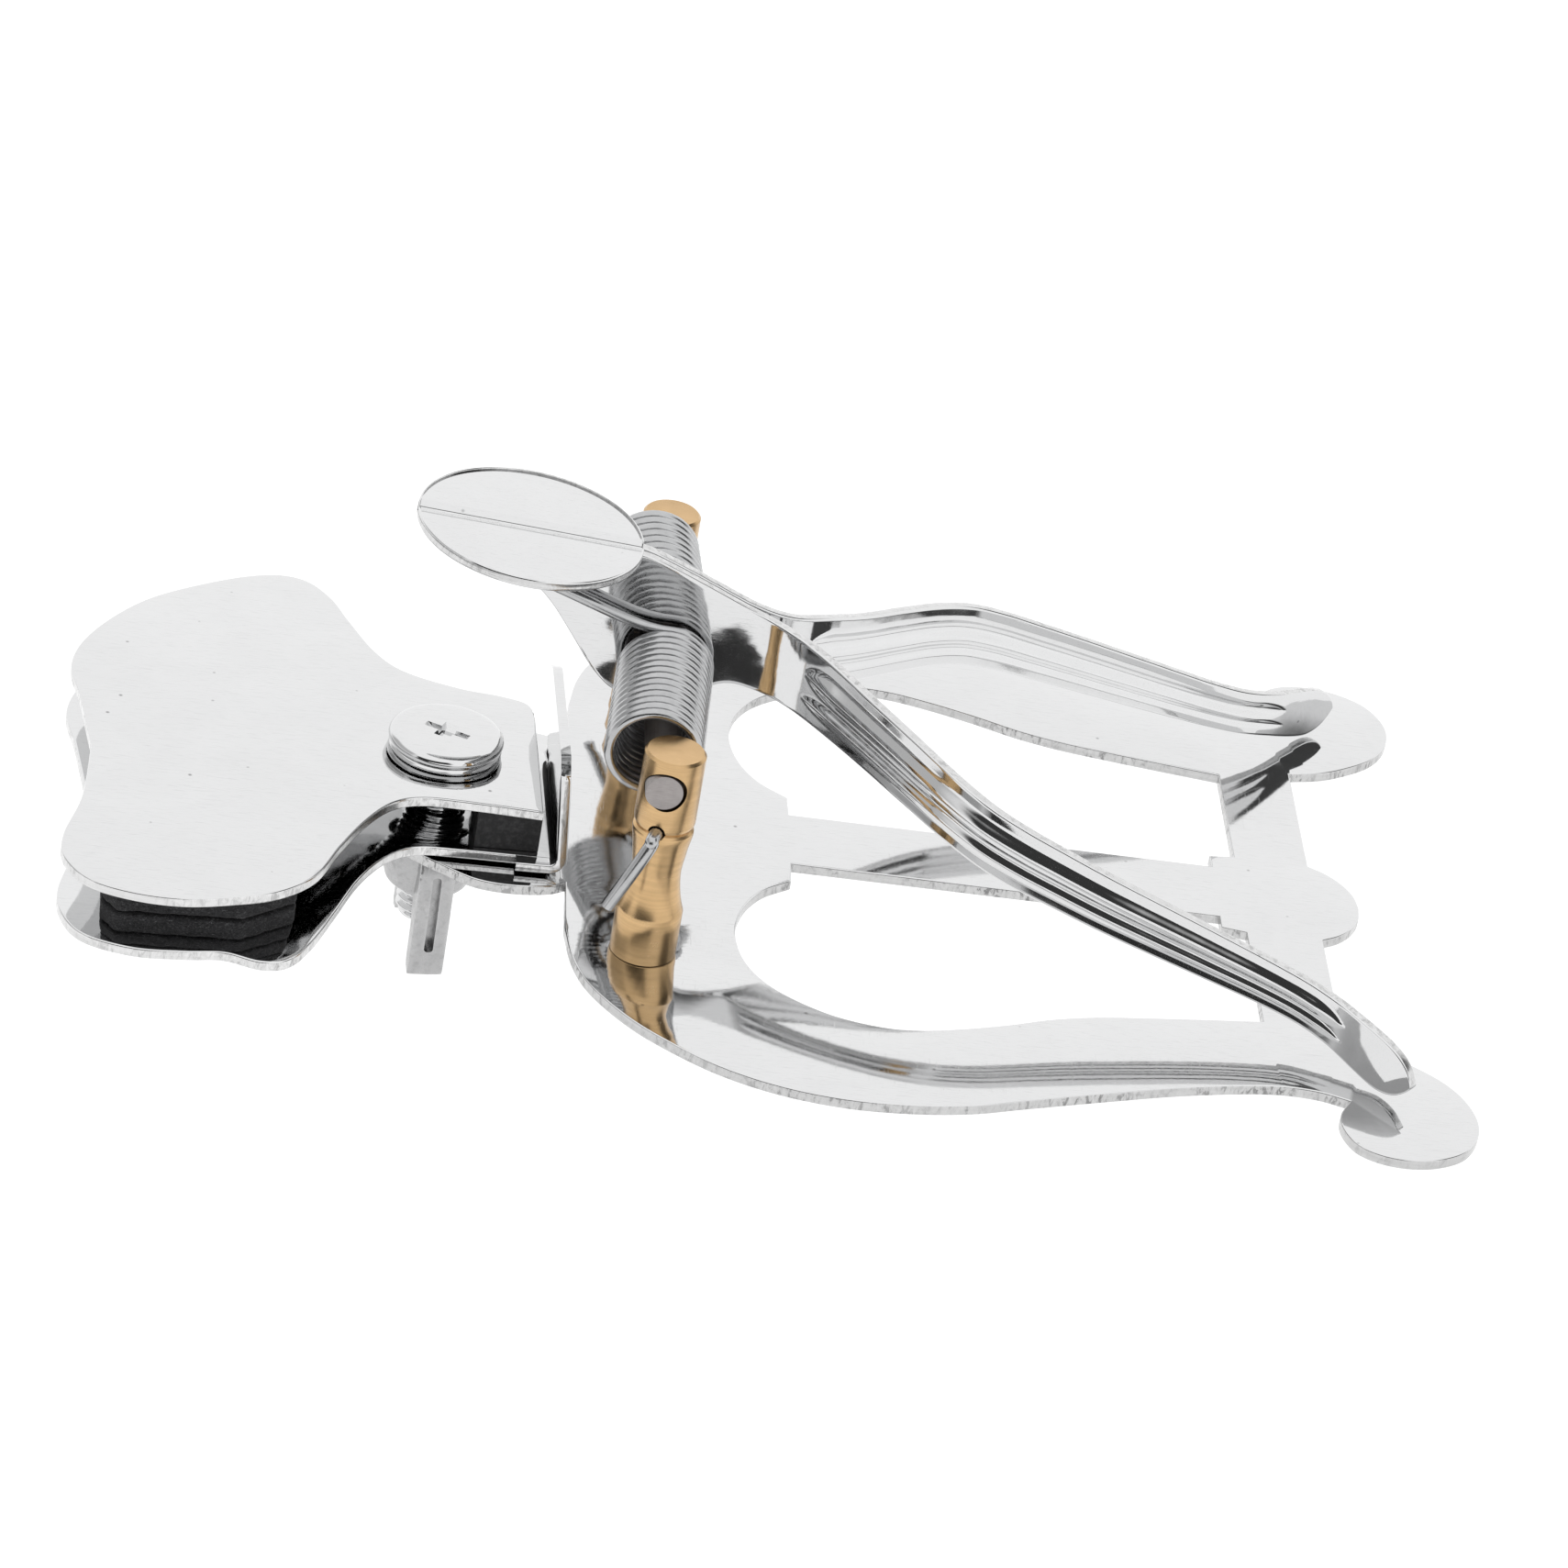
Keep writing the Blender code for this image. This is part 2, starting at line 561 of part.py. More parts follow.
clamp_screw = screw()
washer = turned("screw_washer",
                [(SCREW_HOLE_R - 0.0001, WASHER_Z + 0.0008), (WASHER_R - 0.0002, WASHER_Z + 0.0008),
                 (WASHER_R, WASHER_Z + 0.0006), (WASHER_R, WASHER_Z + 0.0002), (WASHER_R - 0.0002, WASHER_Z),
                 (SCREW_HOLE_R - 0.0001, WASHER_Z), (SCREW_HOLE_R - 0.0001, WASHER_Z + 0.0008)],
                40, (*screw_at, 0.0))


def wing_nut():
    top = -LYRE_T - GAP
    hub = turned("wing_nut", [(0.0, top), (0.0044, top), (0.0045, top - 0.0003), (0.0043, top - 0.0030),
                              (0.0036, top - 0.0055), (0.0033, top - 0.0058), (0.0, top - 0.0058)],
                 32, (*screw_at, 0.0))
    ob = hub
    for k in (0, 1):
        # wing outline in its own radial plane: (radius, z)
        wing = smooth([(0.0030, top - 0.0012), (0.0046, top - 0.0010), (0.0055, top - 0.0022),
                       (0.0059, top - 0.0060), (0.0060, top - 0.0105), (0.0057, top - 0.0120),
                       (0.0050, top - 0.0122), (0.0041, top - 0.0112), (0.0038, top - 0.0080),
                       (0.0031, top - 0.0050)], 3)
        w = prism("wing", wing, -0.0015, 0.0015, coll=cutters)
        bv = w.modifiers.new("round", "BEVEL")
        bv.width = 0.0005
        bv.segments = 2
        bv.limit_method = "ANGLE"
        bv.angle_limit = math.radians(50)
        w = to_mesh(w, "wing_solid", cutters)
        w.data.transform(Matrix.Rotation(math.pi / 2, 4, "X"))
        w.data.transform(Matrix.Rotation(WING_TURN + math.pi * k, 4, "Z"))
        w.data.transform(Matrix.Translation((*screw_at, 0)))
        ob = boolean(ob, w, "UNION")
        slot = block("slot", (0.0024, 0.0007, 0.0050),
                     Matrix.Translation((*screw_at, 0)) @ Matrix.Rotation(WING_TURN + math.pi * k, 4, "Z")
                     @ Matrix.Translation((0.0064, 0, top - 0.0085)))
        ob = boolean(ob, slot, "DIFFERENCE")
    return boolean(ob, rod("nut_bore", (*screw_at, top + 0.001), (*screw_at, top - 0.008), SCREW_R + 0.0003, 28),
                   "DIFFERENCE")


nut = wing_nut()

# ---------------------------------------------------------------- materials and origins
CHROME = (0.86, 0.87, 0.88)
STEEL = (0.55, 0.55, 0.56)
BRASS = (0.78, 0.57, 0.30)
FELT_BLACK = (0.02, 0.02, 0.022)
finish(lyre, material("lyre_plate_chrome", CHROME, 1.0, 0.08))
finish(near_post, material("near_post_brass", BRASS, 1.0, 0.25), 35)
finish(far_post, material("far_post_brass", BRASS, 1.0, 0.25), 35)
finish(pin, material("pivot_pin_steel", STEEL, 1.0, 0.35), 35)
finish(near_spring, material("near_spring_steel", STEEL, 1.0, 0.3), 60)
finish(far_spring, material("far_spring_steel", STEEL, 1.0, 0.3), 60)
finish(near_arm, material("near_arm_chrome", CHROME, 1.0, 0.08), 35)
finish(far_arm, material("far_arm_chrome", CHROME, 1.0, 0.08), 35)
finish(upper_plate, material("upper_plate_chrome", CHROME, 1.0, 0.08))
finish(lower_plate, material("lower_plate_chrome", CHROME, 1.0, 0.08), 20)
finish(lower_felt, material("lower_felt_black", FELT_BLACK, 0.0, 0.95))
finish(upper_felt, material("upper_felt_black", FELT_BLACK, 0.0, 0.95))
finish(spacer, material("neck_spacer_rubber", (0.03, 0.03, 0.032), 0.0, 0.6))
finish(clamp_screw, material("screw_chrome", CHROME, 1.0, 0.12), 35)
finish(washer, material("washer_chrome", CHROME, 1.0, 0.12), 35)
finish(nut, material("wing_nut_nickel", (0.72, 0.72, 0.72), 1.0, 0.25), 35)

pivot = (gx(PIN_X), 0.0, PIN_Z)
for ob in (near_arm, far_arm):
    set_origin(ob, pivot)
for ob in (lower_plate, lower_felt, spacer, upper_plate, upper_felt, clamp_screw, washer, nut):
    set_origin(ob, (*screw_at, 0.0))

cutters.hide_render = True
for ob in cutters.objects:
    ob.hide_render = True
    ob.display_type = "WIRE"
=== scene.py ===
"""How the marching lyre music clip looks: polished chrome sheet, turned brass posts, steel springs and
felt, on a plain pale table.  Every length is in metres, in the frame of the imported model."""
import json
import math

import bmesh
import bpy
from mathutils import Matrix, Vector, noise

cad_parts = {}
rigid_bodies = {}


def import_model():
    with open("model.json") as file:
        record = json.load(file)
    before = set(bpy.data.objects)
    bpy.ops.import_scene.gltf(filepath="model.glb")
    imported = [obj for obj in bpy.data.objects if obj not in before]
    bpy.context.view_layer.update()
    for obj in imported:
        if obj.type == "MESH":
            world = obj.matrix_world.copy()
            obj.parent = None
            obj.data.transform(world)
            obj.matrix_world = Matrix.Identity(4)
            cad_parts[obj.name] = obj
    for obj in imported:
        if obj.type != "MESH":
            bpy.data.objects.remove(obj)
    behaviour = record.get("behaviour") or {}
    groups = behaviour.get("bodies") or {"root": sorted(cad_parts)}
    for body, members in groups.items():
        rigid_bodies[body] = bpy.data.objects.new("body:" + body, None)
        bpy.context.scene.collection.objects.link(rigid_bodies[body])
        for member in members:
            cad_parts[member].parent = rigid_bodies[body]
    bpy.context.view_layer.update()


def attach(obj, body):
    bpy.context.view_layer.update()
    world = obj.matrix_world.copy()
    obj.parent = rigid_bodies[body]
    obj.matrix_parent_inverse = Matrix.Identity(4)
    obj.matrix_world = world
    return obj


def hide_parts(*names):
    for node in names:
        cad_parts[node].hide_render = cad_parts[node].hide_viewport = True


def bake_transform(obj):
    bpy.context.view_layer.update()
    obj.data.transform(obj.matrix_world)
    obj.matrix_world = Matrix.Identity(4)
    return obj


for ob in list(bpy.data.objects):
    bpy.data.objects.remove(ob, do_unlink=True)

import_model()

# ---------------------------------------------------------------- dimensions shared with the CAD
GRID = 0.0009
MID_X = 42.0
LYRE_T = 0.00095
CLAMP_T = 0.0009
LEVER_T = 0.0009
GAP = 0.0003
POST_X, POST_Y = 7.2, 22.6
POST_R = 0.00275
POST_NECK_R = 0.00205
POST_H = 0.0192
TENON_R = 0.0018
PIN_X, PIN_Z = 6.9, 0.0165
PIN_R = 0.00155
PIN_BORE_R = 0.00182
WIRE_R = 0.0005
COIL_WIRE_R = 0.00046
COIL_R = 0.00365
COIL_TURNS = 14
COIL_PITCH = 0.00107
PAD_X, PAD_R = -7.35, 10.6
PAD_Z, PAD_SLOPE = 0.0272, -0.064
CLAMP_X, CLAMP_Y = -12.7, -0.5
CLAMP_TURN = math.radians(3.4)
SCREW_GRID = (0.2, -1.6)
LOWER_Z = GAP
UPPER_Z = 0.0050
FELT_T = 0.00155
FLANGE_H = 0.0108
SCREW_R = 0.0023
SCREW_PITCH = 0.0008
SCREW_HOLE_R = 0.0028
HEAD_R = 0.0049
WASHER_R = 0.0048
SCREW_END = -0.0105
WING_TURN = math.radians(-82.0)
HEAD_Z = UPPER_Z + CLAMP_T + 0.00080
WASHER_Z = UPPER_Z + CLAMP_T + 0.00004
SHEET_EDGE = 0.00013     # rounding of the sheet metal's edges


# ---------------------------------------------------------------- helpers
def gx(x):
    return (x - MID_X) * GRID


def gp(x, y):
    return (gx(x), y * GRID)


def clamp_xy(x, y):
    c, s = math.cos(CLAMP_TURN), math.sin(CLAMP_TURN)
    return gp(CLAMP_X + c * x - s * y, CLAMP_Y + s * x + c * y)


def smooth(points, per=10):
    pts = [Vector(p) for p in points]
    ext = [pts[0] * 2 - pts[1]] + pts + [pts[-1] * 2 - pts[-2]]
    out = []
    for i in range(1, len(ext) - 2):
        p0, p1, p2, p3 = ext[i - 1], ext[i], ext[i + 1], ext[i + 2]
        for k in range(per):
            t = k / per
            out.append(0.5 * (2 * p1 + (p2 - p0) * t + (2 * p0 - 5 * p1 + 4 * p2 - p3) * t * t
                              + (3 * p1 - p0 - 3 * p2 + p3) * t ** 3))
    out.append(pts[-1])
    return [tuple(p) for p in out]


def smooth_at(table, x):
    n = len(table)
    i = max(0, min(n - 2, sum(1 for p in table if p[0] <= x) - 1))
    x0, x1 = table[i][0], table[i + 1][0]
    y0, y1 = table[i][1], table[i + 1][1]

    def slope(j):
        a, b = table[max(0, j - 1)], table[min(n - 1, j + 1)]
        return (b[1] - a[1]) / (b[0] - a[0])

    h = x1 - x0
    t = (x - x0) / h
    m0, m1 = slope(i) * h, slope(i + 1) * h
    return ((2 * t ** 3 - 3 * t * t + 1) * y0 + (t ** 3 - 2 * t * t + t) * m0
            + (3 * t * t - 2 * t ** 3) * y1 + (t ** 3 - t * t) * m1)


def circle(cx, cy, r, n=64):
    return [(cx + r * math.cos(2 * math.pi * k / n), cy + r * math.sin(2 * math.pi * k / n))
            for k in range(n)]


def add_object(name, data):
    ob = bpy.data.objects.new(name, data)
    bpy.context.scene.collection.objects.link(ob)
    return ob


def mesh_from(bm, name):
    me = bpy.data.meshes.new(name)
    bm.to_mesh(me)
    bm.free()
    return me


def freeze(ob, name=None):
    """An object with its modifiers as a plain mesh in world space."""
    bpy.context.view_layer.update()
    deps = bpy.context.evaluated_depsgraph_get()
    me = bpy.data.meshes.new_from_object(ob.evaluated_get(deps))
    me.transform(ob.matrix_world)
    name = name or ob.name
    bpy.data.objects.remove(ob, do_unlink=True)
    me.name = name
    return add_object(name, me)


def boolean(ob, other, how):
    name = ob.name
    ob.name = name + "_raw"
    m = ob.modifiers.new("cut", "BOOLEAN")
    m.operation = how
    m.solver = "EXACT"
    m.object = other
    out = freeze(ob, name)
    bpy.data.objects.remove(other, do_unlink=True)
    return out


def join(ob, *others):
    """Adds the other meshes to ob's mesh as they stand."""
    bpy.context.view_layer.update()
    bm = bmesh.new()
    for o in (ob, *others):
        me = o.data.copy()
        me.transform(o.matrix_world)
        bm.from_mesh(me)
        bpy.data.meshes.remove(me)
    name = ob.name
    for o in (ob, *others):
        bpy.data.objects.remove(o, do_unlink=True)
    return add_object(name, mesh_from(bm, name))


def rod(name, a, b, r, n=48, r2=None):
    a, b = Vector(a), Vector(b)
    bm = bmesh.new()
    bmesh.ops.create_cone(bm, cap_ends=True, segments=n, radius1=r, radius2=r if r2 is None else r2,
                          depth=(b - a).length)
    ob = add_object(name, mesh_from(bm, name))
    ob.matrix_world = Matrix.Translation((a + b) / 2) @ (b - a).to_track_quat("Z", "Y").to_matrix().to_4x4()
    return ob


def signed_area(loop):
    return 0.5 * sum(a[0] * b[1] - b[0] * a[1] for a, b in zip(loop, loop[1:] + loop[:1]))


def tidy(loop, least=2e-5):
    """Drops points that lie on their neighbour."""
    out = []
    for p in loop:
        if not out or (Vector(p[:2]) - Vector(out[-1][:2])).length > least:
            out.append(tuple(p[:2]))
    if (Vector(out[0]) - Vector(out[-1])).length <= least:
        out.pop()
    return out


def sheet_metal(name, outer, z0, z1, holes=(), r=SHEET_EDGE, seg=3, r_low=None):
    """A stamped sheet with rounded edges.  Material 0 is the faces, 1 the cut edge."""
    r_low = r if r_low is None else r_low
    loops = []
    for i, loop in enumerate((outer, *holes)):
        loop = tidy(loop)
        if (signed_area(loop) > 0) != (i == 0):
            loop = loop[::-1]
        loops.append(loop)
    levels = []
    for k in range(seg + 1):
        a = math.pi / 2 * k / seg
        levels.append((r_low * (1 - math.sin(a)), z0 + r_low * (1 - math.cos(a))))
    levels.append((0.0, z0 + r_low * 1.5))
    levels.append((0.0, z1 - r * 1.5))
    for k in range(seg + 1):
        a = math.pi / 2 * k / seg
        levels.append((r * (1 - math.cos(a)), z1 - r * (1 - math.sin(a))))
    bm = bmesh.new()
    low_edges, high_edges = [], []
    for loop in loops:
        n = len(loop)
        normals = []
        for i in range(n):
            p0, p1, p2 = Vector(loop[i - 1]), Vector(loop[i]), Vector(loop[(i + 1) % n])
            d1, d2 = (p1 - p0).normalized(), (p2 - p1).normalized()
            n1, n2 = Vector((d1.y, -d1.x)), Vector((d2.y, -d2.x))
            m = (n1 + n2)
            m = m.normalized() if m.length > 1e-6 else n1
            normals.append(m / max(0.55, m.dot(n1)))
        rings = []
        for inset, z in levels:
            rings.append([bm.verts.new((p[0] - q.x * inset, p[1] - q.y * inset, z))
                          for p, q in zip(loop, normals)])
        for a, b in zip(rings[:-1], rings[1:]):
            for i in range(n):
                j = (i + 1) % n
                f = bm.faces.new((a[i], a[j], b[j], b[i]))
                f.smooth = True
                zc = (a[i].co.z + b[i].co.z) / 2
                f.material_index = 1 if z0 + r_low * 0.2 < zc < z1 - r * 0.35 else 0
        for ring, store in ((rings[0], low_edges), (rings[-1], high_edges)):
            for i in range(n):
                store.append(bm.edges.get((ring[i], ring[(i + 1) % n])))
    for store, up in ((low_edges, -1), (high_edges, 1)):
        made = bmesh.ops.triangle_fill(bm, edges=store, use_beauty=True, use_dissolve=False)
        for g in made["geom"]:
            if isinstance(g, bmesh.types.BMFace):
                g.smooth = False
                g.material_index = 0
                g.normal_update()
                if g.normal.z * up < 0:
                    g.normal_flip()
    ob = add_object(name, mesh_from(bm, name))
    ob.data.set_sharp_from_angle(angle=math.radians(38))
    return ob


def turned(name, profile, steps, sharp=32, rows_at=None):
    """A body turned about its own Z axis; profile is (radius, z), top to bottom, closed by its ends
    lying on the axis or on each other."""
    bm = bmesh.new()
    rings = []
    for r, z in profile:
        if r < 1e-7:
            rings.append([bm.verts.new((0, 0, z))])
        else:
            rings.append([bm.verts.new((r * math.cos(2 * math.pi * k / steps),
                                        r * math.sin(2 * math.pi * k / steps), z)) for k in range(steps)])
    closed = (Vector(profile[0]) - Vector(profile[-1])).length < 1e-7
    if closed:
        for v in rings.pop():
            bm.verts.remove(v)
        rings.append(rings[0])
    for a, b in zip(rings[:-1], rings[1:]):
        for i in range(steps):
            j = (i + 1) % steps
            if len(a) == 1 and len(b) == 1:
                continue
            if len(a) == 1:
                bm.faces.new((a[0], b[i], b[j]))
            elif len(b) == 1:
                bm.faces.new((a[i], b[0], a[j]))
            else:
                bm.faces.new((a[i], b[i], b[j], a[j]))
    bmesh.ops.recalc_face_normals(bm, faces=bm.faces)
    ob = add_object(name, mesh_from(bm, name))
    ob.data.shade_smooth()
    ob.data.set_sharp_from_angle(angle=math.radians(sharp))
    return ob


def resharpen(ob, angle):
    ob.data.shade_smooth()
    ob.data.set_sharp_from_angle(angle=math.radians(angle))
    return ob


def rounded(profile, radius, at, seg=4):
    """Rounds the named corners of an open profile of (r, z) points."""
    out = []
    for i, p in enumerate(profile):
        if i not in at:
            out.append(p)
            continue
        rad = at[i] if isinstance(at, dict) else radius
        p0, p1, p2 = Vector(profile[i - 1]), Vector(p), Vector(profile[i + 1])
        a, b = p1 + (p0 - p1).normalized() * rad, p1 + (p2 - p1).normalized() * rad
        for k in range(seg + 1):
            t = k / seg
            q = a * (1 - t) ** 2 + p1 * 2 * t * (1 - t) + b * t * t
            out.append((q.x, q.y))
    return out


def tube(name, pts, r, sides=14, caps=True):
    """A wire along a dense run of points, with a frame carried along so that it never twists."""
    pts = [Vector(p) for p in pts]
    bm = bmesh.new()
    tangent = (pts[1] - pts[0]).normalized()
    side = tangent.orthogonal().normalized()
    rings = []
    for i, p in enumerate(pts):
        t = (pts[min(i + 1, len(pts) - 1)] - pts[max(i - 1, 0)]).normalized()
        side = (side - t * side.dot(t)).normalized()
        up = t.cross(side)
        rr = r(i) if callable(r) else r
        rings.append([bm.verts.new(p + (side * math.cos(2 * math.pi * k / sides)
                                        + up * math.sin(2 * math.pi * k / sides)) * rr) for k in range(sides)])
    for a, b in zip(rings[:-1], rings[1:]):
        for i in range(sides):
            j = (i + 1) % sides
            bm.faces.new((a[i], a[j], b[j], b[i]))
    if caps:
        for ring, p, t in ((rings[0], pts[0], (pts[0] - pts[1]).normalized()),
                           (rings[-1], pts[-1], (pts[-1] - pts[-2]).normalized())):
            inner = [bm.verts.new(p + (v.co - p) * 0.75 + t * 0.00009) for v in ring]
            for i in range(sides):
                j = (i + 1) % sides
                bm.faces.new((ring[i], ring[j], inner[j], inner[i]))
            bm.faces.new(inner)
    bmesh.ops.recalc_face_normals(bm, faces=bm.faces)
    ob = add_object(name, mesh_from(bm, name))
    return resharpen(ob, 50)


# ---------------------------------------------------------------- materials
def nodes_for(name):
    m = bpy.data.materials.new(name)
    m.use_nodes = True
    nt = m.node_tree
    b = nt.nodes["Principled BSDF"]
    return m, nt, b


def link(nt, a, b):
    nt.links.new(a, b)


def coords(nt, scale=(1, 1, 1), turn=(0, 0, 0)):
    tc = nt.nodes.new("ShaderNodeTexCoord")
    mp = nt.nodes.new("ShaderNodeMapping")
    mp.inputs["Scale"].default_value = scale
    mp.inputs["Rotation"].default_value = turn
    link(nt, tc.outputs["Object"], mp.inputs["Vector"])
    return mp.outputs["Vector"]


def noise_tex(nt, vec, scale, detail=3.0, rough=0.55, distort=0.0):
    n = nt.nodes.new("ShaderNodeTexNoise")
    n.inputs["Scale"].default_value = scale
    n.inputs["Detail"].default_value = detail
    n.inputs["Roughness"].default_value = rough
    n.inputs["Distortion"].default_value = distort
    link(nt, vec, n.inputs["Vector"])
    return n.outputs["Fac"]


def ramp(nt, fac, stops):
    r = nt.nodes.new("ShaderNodeValToRGB")
    el = r.color_ramp.elements
    while len(el) < len(stops):
        el.new(0.5)
    for e, (pos, col) in zip(el, stops):
        e.position = pos
        c = col if isinstance(col, tuple) else (col, col, col)
        e.color = (*c, 1.0)
    link(nt, fac, r.inputs["Fac"])
    return r.outputs["Color"]


def mix(nt, fac, a, b, how="MIX"):
    n = nt.nodes.new("ShaderNodeMix")
    n.data_type = "RGBA"
    n.blend_type = how
    n.inputs[0].default_value = fac if isinstance(fac, float) else 0.5
    if not isinstance(fac, float):
        link(nt, fac, n.inputs[0])
    for sock, v in ((n.inputs[6], a), (n.inputs[7], b)):
        if isinstance(v, tuple):
            sock.default_value = (*v, 1.0)
        else:
            link(nt, v, sock)
    return n.outputs[2]


def maths(nt, how, a, b=None):
    n = nt.nodes.new("ShaderNodeMath")
    n.operation = how
    for i, v in enumerate((a, b)):
        if v is None:
            continue
        if isinstance(v, (int, float)):
            n.inputs[i].default_value = v
        else:
            link(nt, v, n.inputs[i])
    return n.outputs[0]


def spread(nt, fac, low, high):
    """fac 0..1 to low..high."""
    n = nt.nodes.new("ShaderNodeMapRange")
    n.inputs["To Min"].default_value = low
    n.inputs["To Max"].default_value = high
    link(nt, fac, n.inputs["Value"])
    return n.outputs["Result"]


def bump(nt, b, heights):
    """heights is a list of (height socket, strength, distance), laid one on another."""
    last = None
    for h, strength, dist in heights:
        n = nt.nodes.new("ShaderNodeBump")
        n.inputs["Strength"].default_value = strength
        n.inputs["Distance"].default_value = dist
        link(nt, h, n.inputs["Height"])
        if last is not None:
            link(nt, last, n.inputs["Normal"])
        last = n.outputs["Normal"]
    link(nt, last, b.inputs["Normal"])


def chrome(name, base=(0.665, 0.667, 0.67), rough=0.035, wave=0.10, pits=0.55, roll=0.0):
    """Bright chrome plate: a faint orange peel, polishing hairlines, handling smudges and a few pits."""
    m, nt, b = nodes_for(name)
    b.inputs["Metallic"].default_value = 1.0
    smudge = noise_tex(nt, coords(nt), 170.0, 5.0, 0.6, 0.8)
    fine = noise_tex(nt, coords(nt), 2600.0, 3.0)
    hair = noise_tex(nt, coords(nt, (1, 26, 26), (0.1, 0.2, 0.55)), 650.0, 2.0)
    hair2 = noise_tex(nt, coords(nt, (24, 1, 24), (0.1, 0.3, -0.35)), 600.0, 2.0)
    pit = nt.nodes.new("ShaderNodeTexVoronoi")
    pit.feature = "F1"
    pit.inputs["Scale"].default_value = 260.0
    pit.inputs["Randomness"].default_value = 1.0
    link(nt, coords(nt), pit.inputs["Vector"])
    spot = ramp(nt, pit.outputs["Distance"], [(0.02, pits), (0.055, 1.0)])
    tone = mix(nt, smudge, tuple(c * 0.965 for c in base), tuple(min(1.0, c * 1.035) for c in base))
    lines = ramp(nt, hair, [(0.33, 0.9), (0.40, 1.0)])
    tone = mix(nt, 1.0, tone, lines, "MULTIPLY")
    tone = mix(nt, 1.0, tone, spot, "MULTIPLY")
    link(nt, tone, b.inputs["Base Color"])
    r = spread(nt, smudge, rough * 0.5, rough * 2.4)
    r = maths(nt, "ADD", r, spread(nt, ramp(nt, hair2, [(0.62, 0.0), (0.72, 1.0)]), 0.0, 0.12))
    link(nt, r, b.inputs["Roughness"])
    peel = noise_tex(nt, coords(nt), 330.0, 2.0)
    layers = [(peel, wave, 0.00006), (hair, 0.05, 0.00001), (fine, 0.05, 0.000006)]
    if roll:
        layers.insert(0, (noise_tex(nt, coords(nt), 110.0, 1.5), roll, 0.0003))
    bump(nt, b, layers)
    return m


def sheared(name, dark=0.20, light=0.58):
    """The cut edge of a stamped and plated sheet: a polished band broken by torn, darker flecks."""
    m, nt, b = nodes_for(name)
    b.inputs["Metallic"].default_value = 1.0
    tear = noise_tex(nt, coords(nt, (1, 1, 0.45)), 1900.0, 4.0, 0.65, 0.6)
    band = noise_tex(nt, coords(nt, (0.35, 0.35, 5.0)), 700.0, 3.0, 0.6)
    patch = noise_tex(nt, coords(nt), 120.0, 2.0)
    fleck = ramp(nt, tear, [(0.38, dark), (0.47, light * 0.85), (0.62, light)])
    calm = ramp(nt, band, [(0.3, light * 0.82), (0.7, light)])
    where = ramp(nt, patch, [(0.38, 0.12), (0.6, 0.95)])
    link(nt, mix(nt, where, calm, fleck), b.inputs["Base Color"])
    link(nt, spread(nt, tear, 0.34, 0.12), b.inputs["Roughness"])
    bump(nt, b, [(band, 0.25, 0.00003), (tear, 0.4, 0.00004)])
    return m


def brass(name):
    """Turned brass rod: tool rings, long soft streaks, a little tarnish in the grooves."""
    m, nt, b = nodes_for(name)
    b.inputs["Metallic"].default_value = 1.0
    rings = noise_tex(nt, coords(nt, (0.02, 0.02, 1)), 9000.0, 2.0, 0.7)
    wide = noise_tex(nt, coords(nt, (0.05, 0.05, 1)), 1500.0, 2.0, 0.5)
    blot = noise_tex(nt, coords(nt), 420.0, 4.0, 0.6, 0.5)
    tone = mix(nt, blot, (0.51, 0.335, 0.16), (0.72, 0.49, 0.26))
    tone = mix(nt, 1.0, tone, ramp(nt, rings, [(0.3, 0.90), (0.62, 1.0)]), "MULTIPLY")
    tone = mix(nt, 1.0, tone, ramp(nt, wide, [(0.3, 0.88), (0.6, 1.0)]), "MULTIPLY")
    link(nt, tone, b.inputs["Base Color"])
    link(nt, spread(nt, blot, 0.17, 0.33), b.inputs["Roughness"])
    b.inputs["Anisotropic"].default_value = 0.45
    bump(nt, b, [(wide, 0.07, 0.00002), (rings, 0.10, 0.00001)])
    return m


def steel(name, base=(0.45, 0.453, 0.458), rough=(0.12, 0.26)):
    """Drawn spring wire: satin steel with draw marks and faint dark spots."""
    m, nt, b = nodes_for(name)
    b.inputs["Metallic"].default_value = 1.0
    blot = noise_tex(nt, coords(nt), 900.0, 4.0, 0.6)
    fine = noise_tex(nt, coords(nt), 7000.0, 2.0)
    link(nt, mix(nt, blot, tuple(c * 0.82 for c in base), tuple(min(1, c * 1.16) for c in base)),
         b.inputs["Base Color"])
    link(nt, spread(nt, blot, *rough), b.inputs["Roughness"])
    bump(nt, b, [(blot, 0.12, 0.00003), (fine, 0.2, 0.00001)])
    return m


def sawn(name):
    """The pivot pin: ground sides, and saw marks on its sawn ends."""
    m, nt, b = nodes_for(name)
    b.inputs["Metallic"].default_value = 1.0
    saw = noise_tex(nt, coords(nt, (1, 0.2, 14), (0, 0.6, 0)), 1100.0, 3.0, 0.6)
    blot = noise_tex(nt, coords(nt), 700.0, 3.0)
    tone = mix(nt, saw, (0.30, 0.275, 0.27), (0.44, 0.415, 0.405))
    tone = mix(nt, 1.0, tone, ramp(nt, blot, [(0.3, 0.85), (0.6, 1.0)]), "MULTIPLY")
    link(nt, tone, b.inputs["Base Color"])
    link(nt, spread(nt, saw, 0.52, 0.36), b.inputs["Roughness"])
    bump(nt, b, [(saw, 0.35, 0.00004)])
    return m


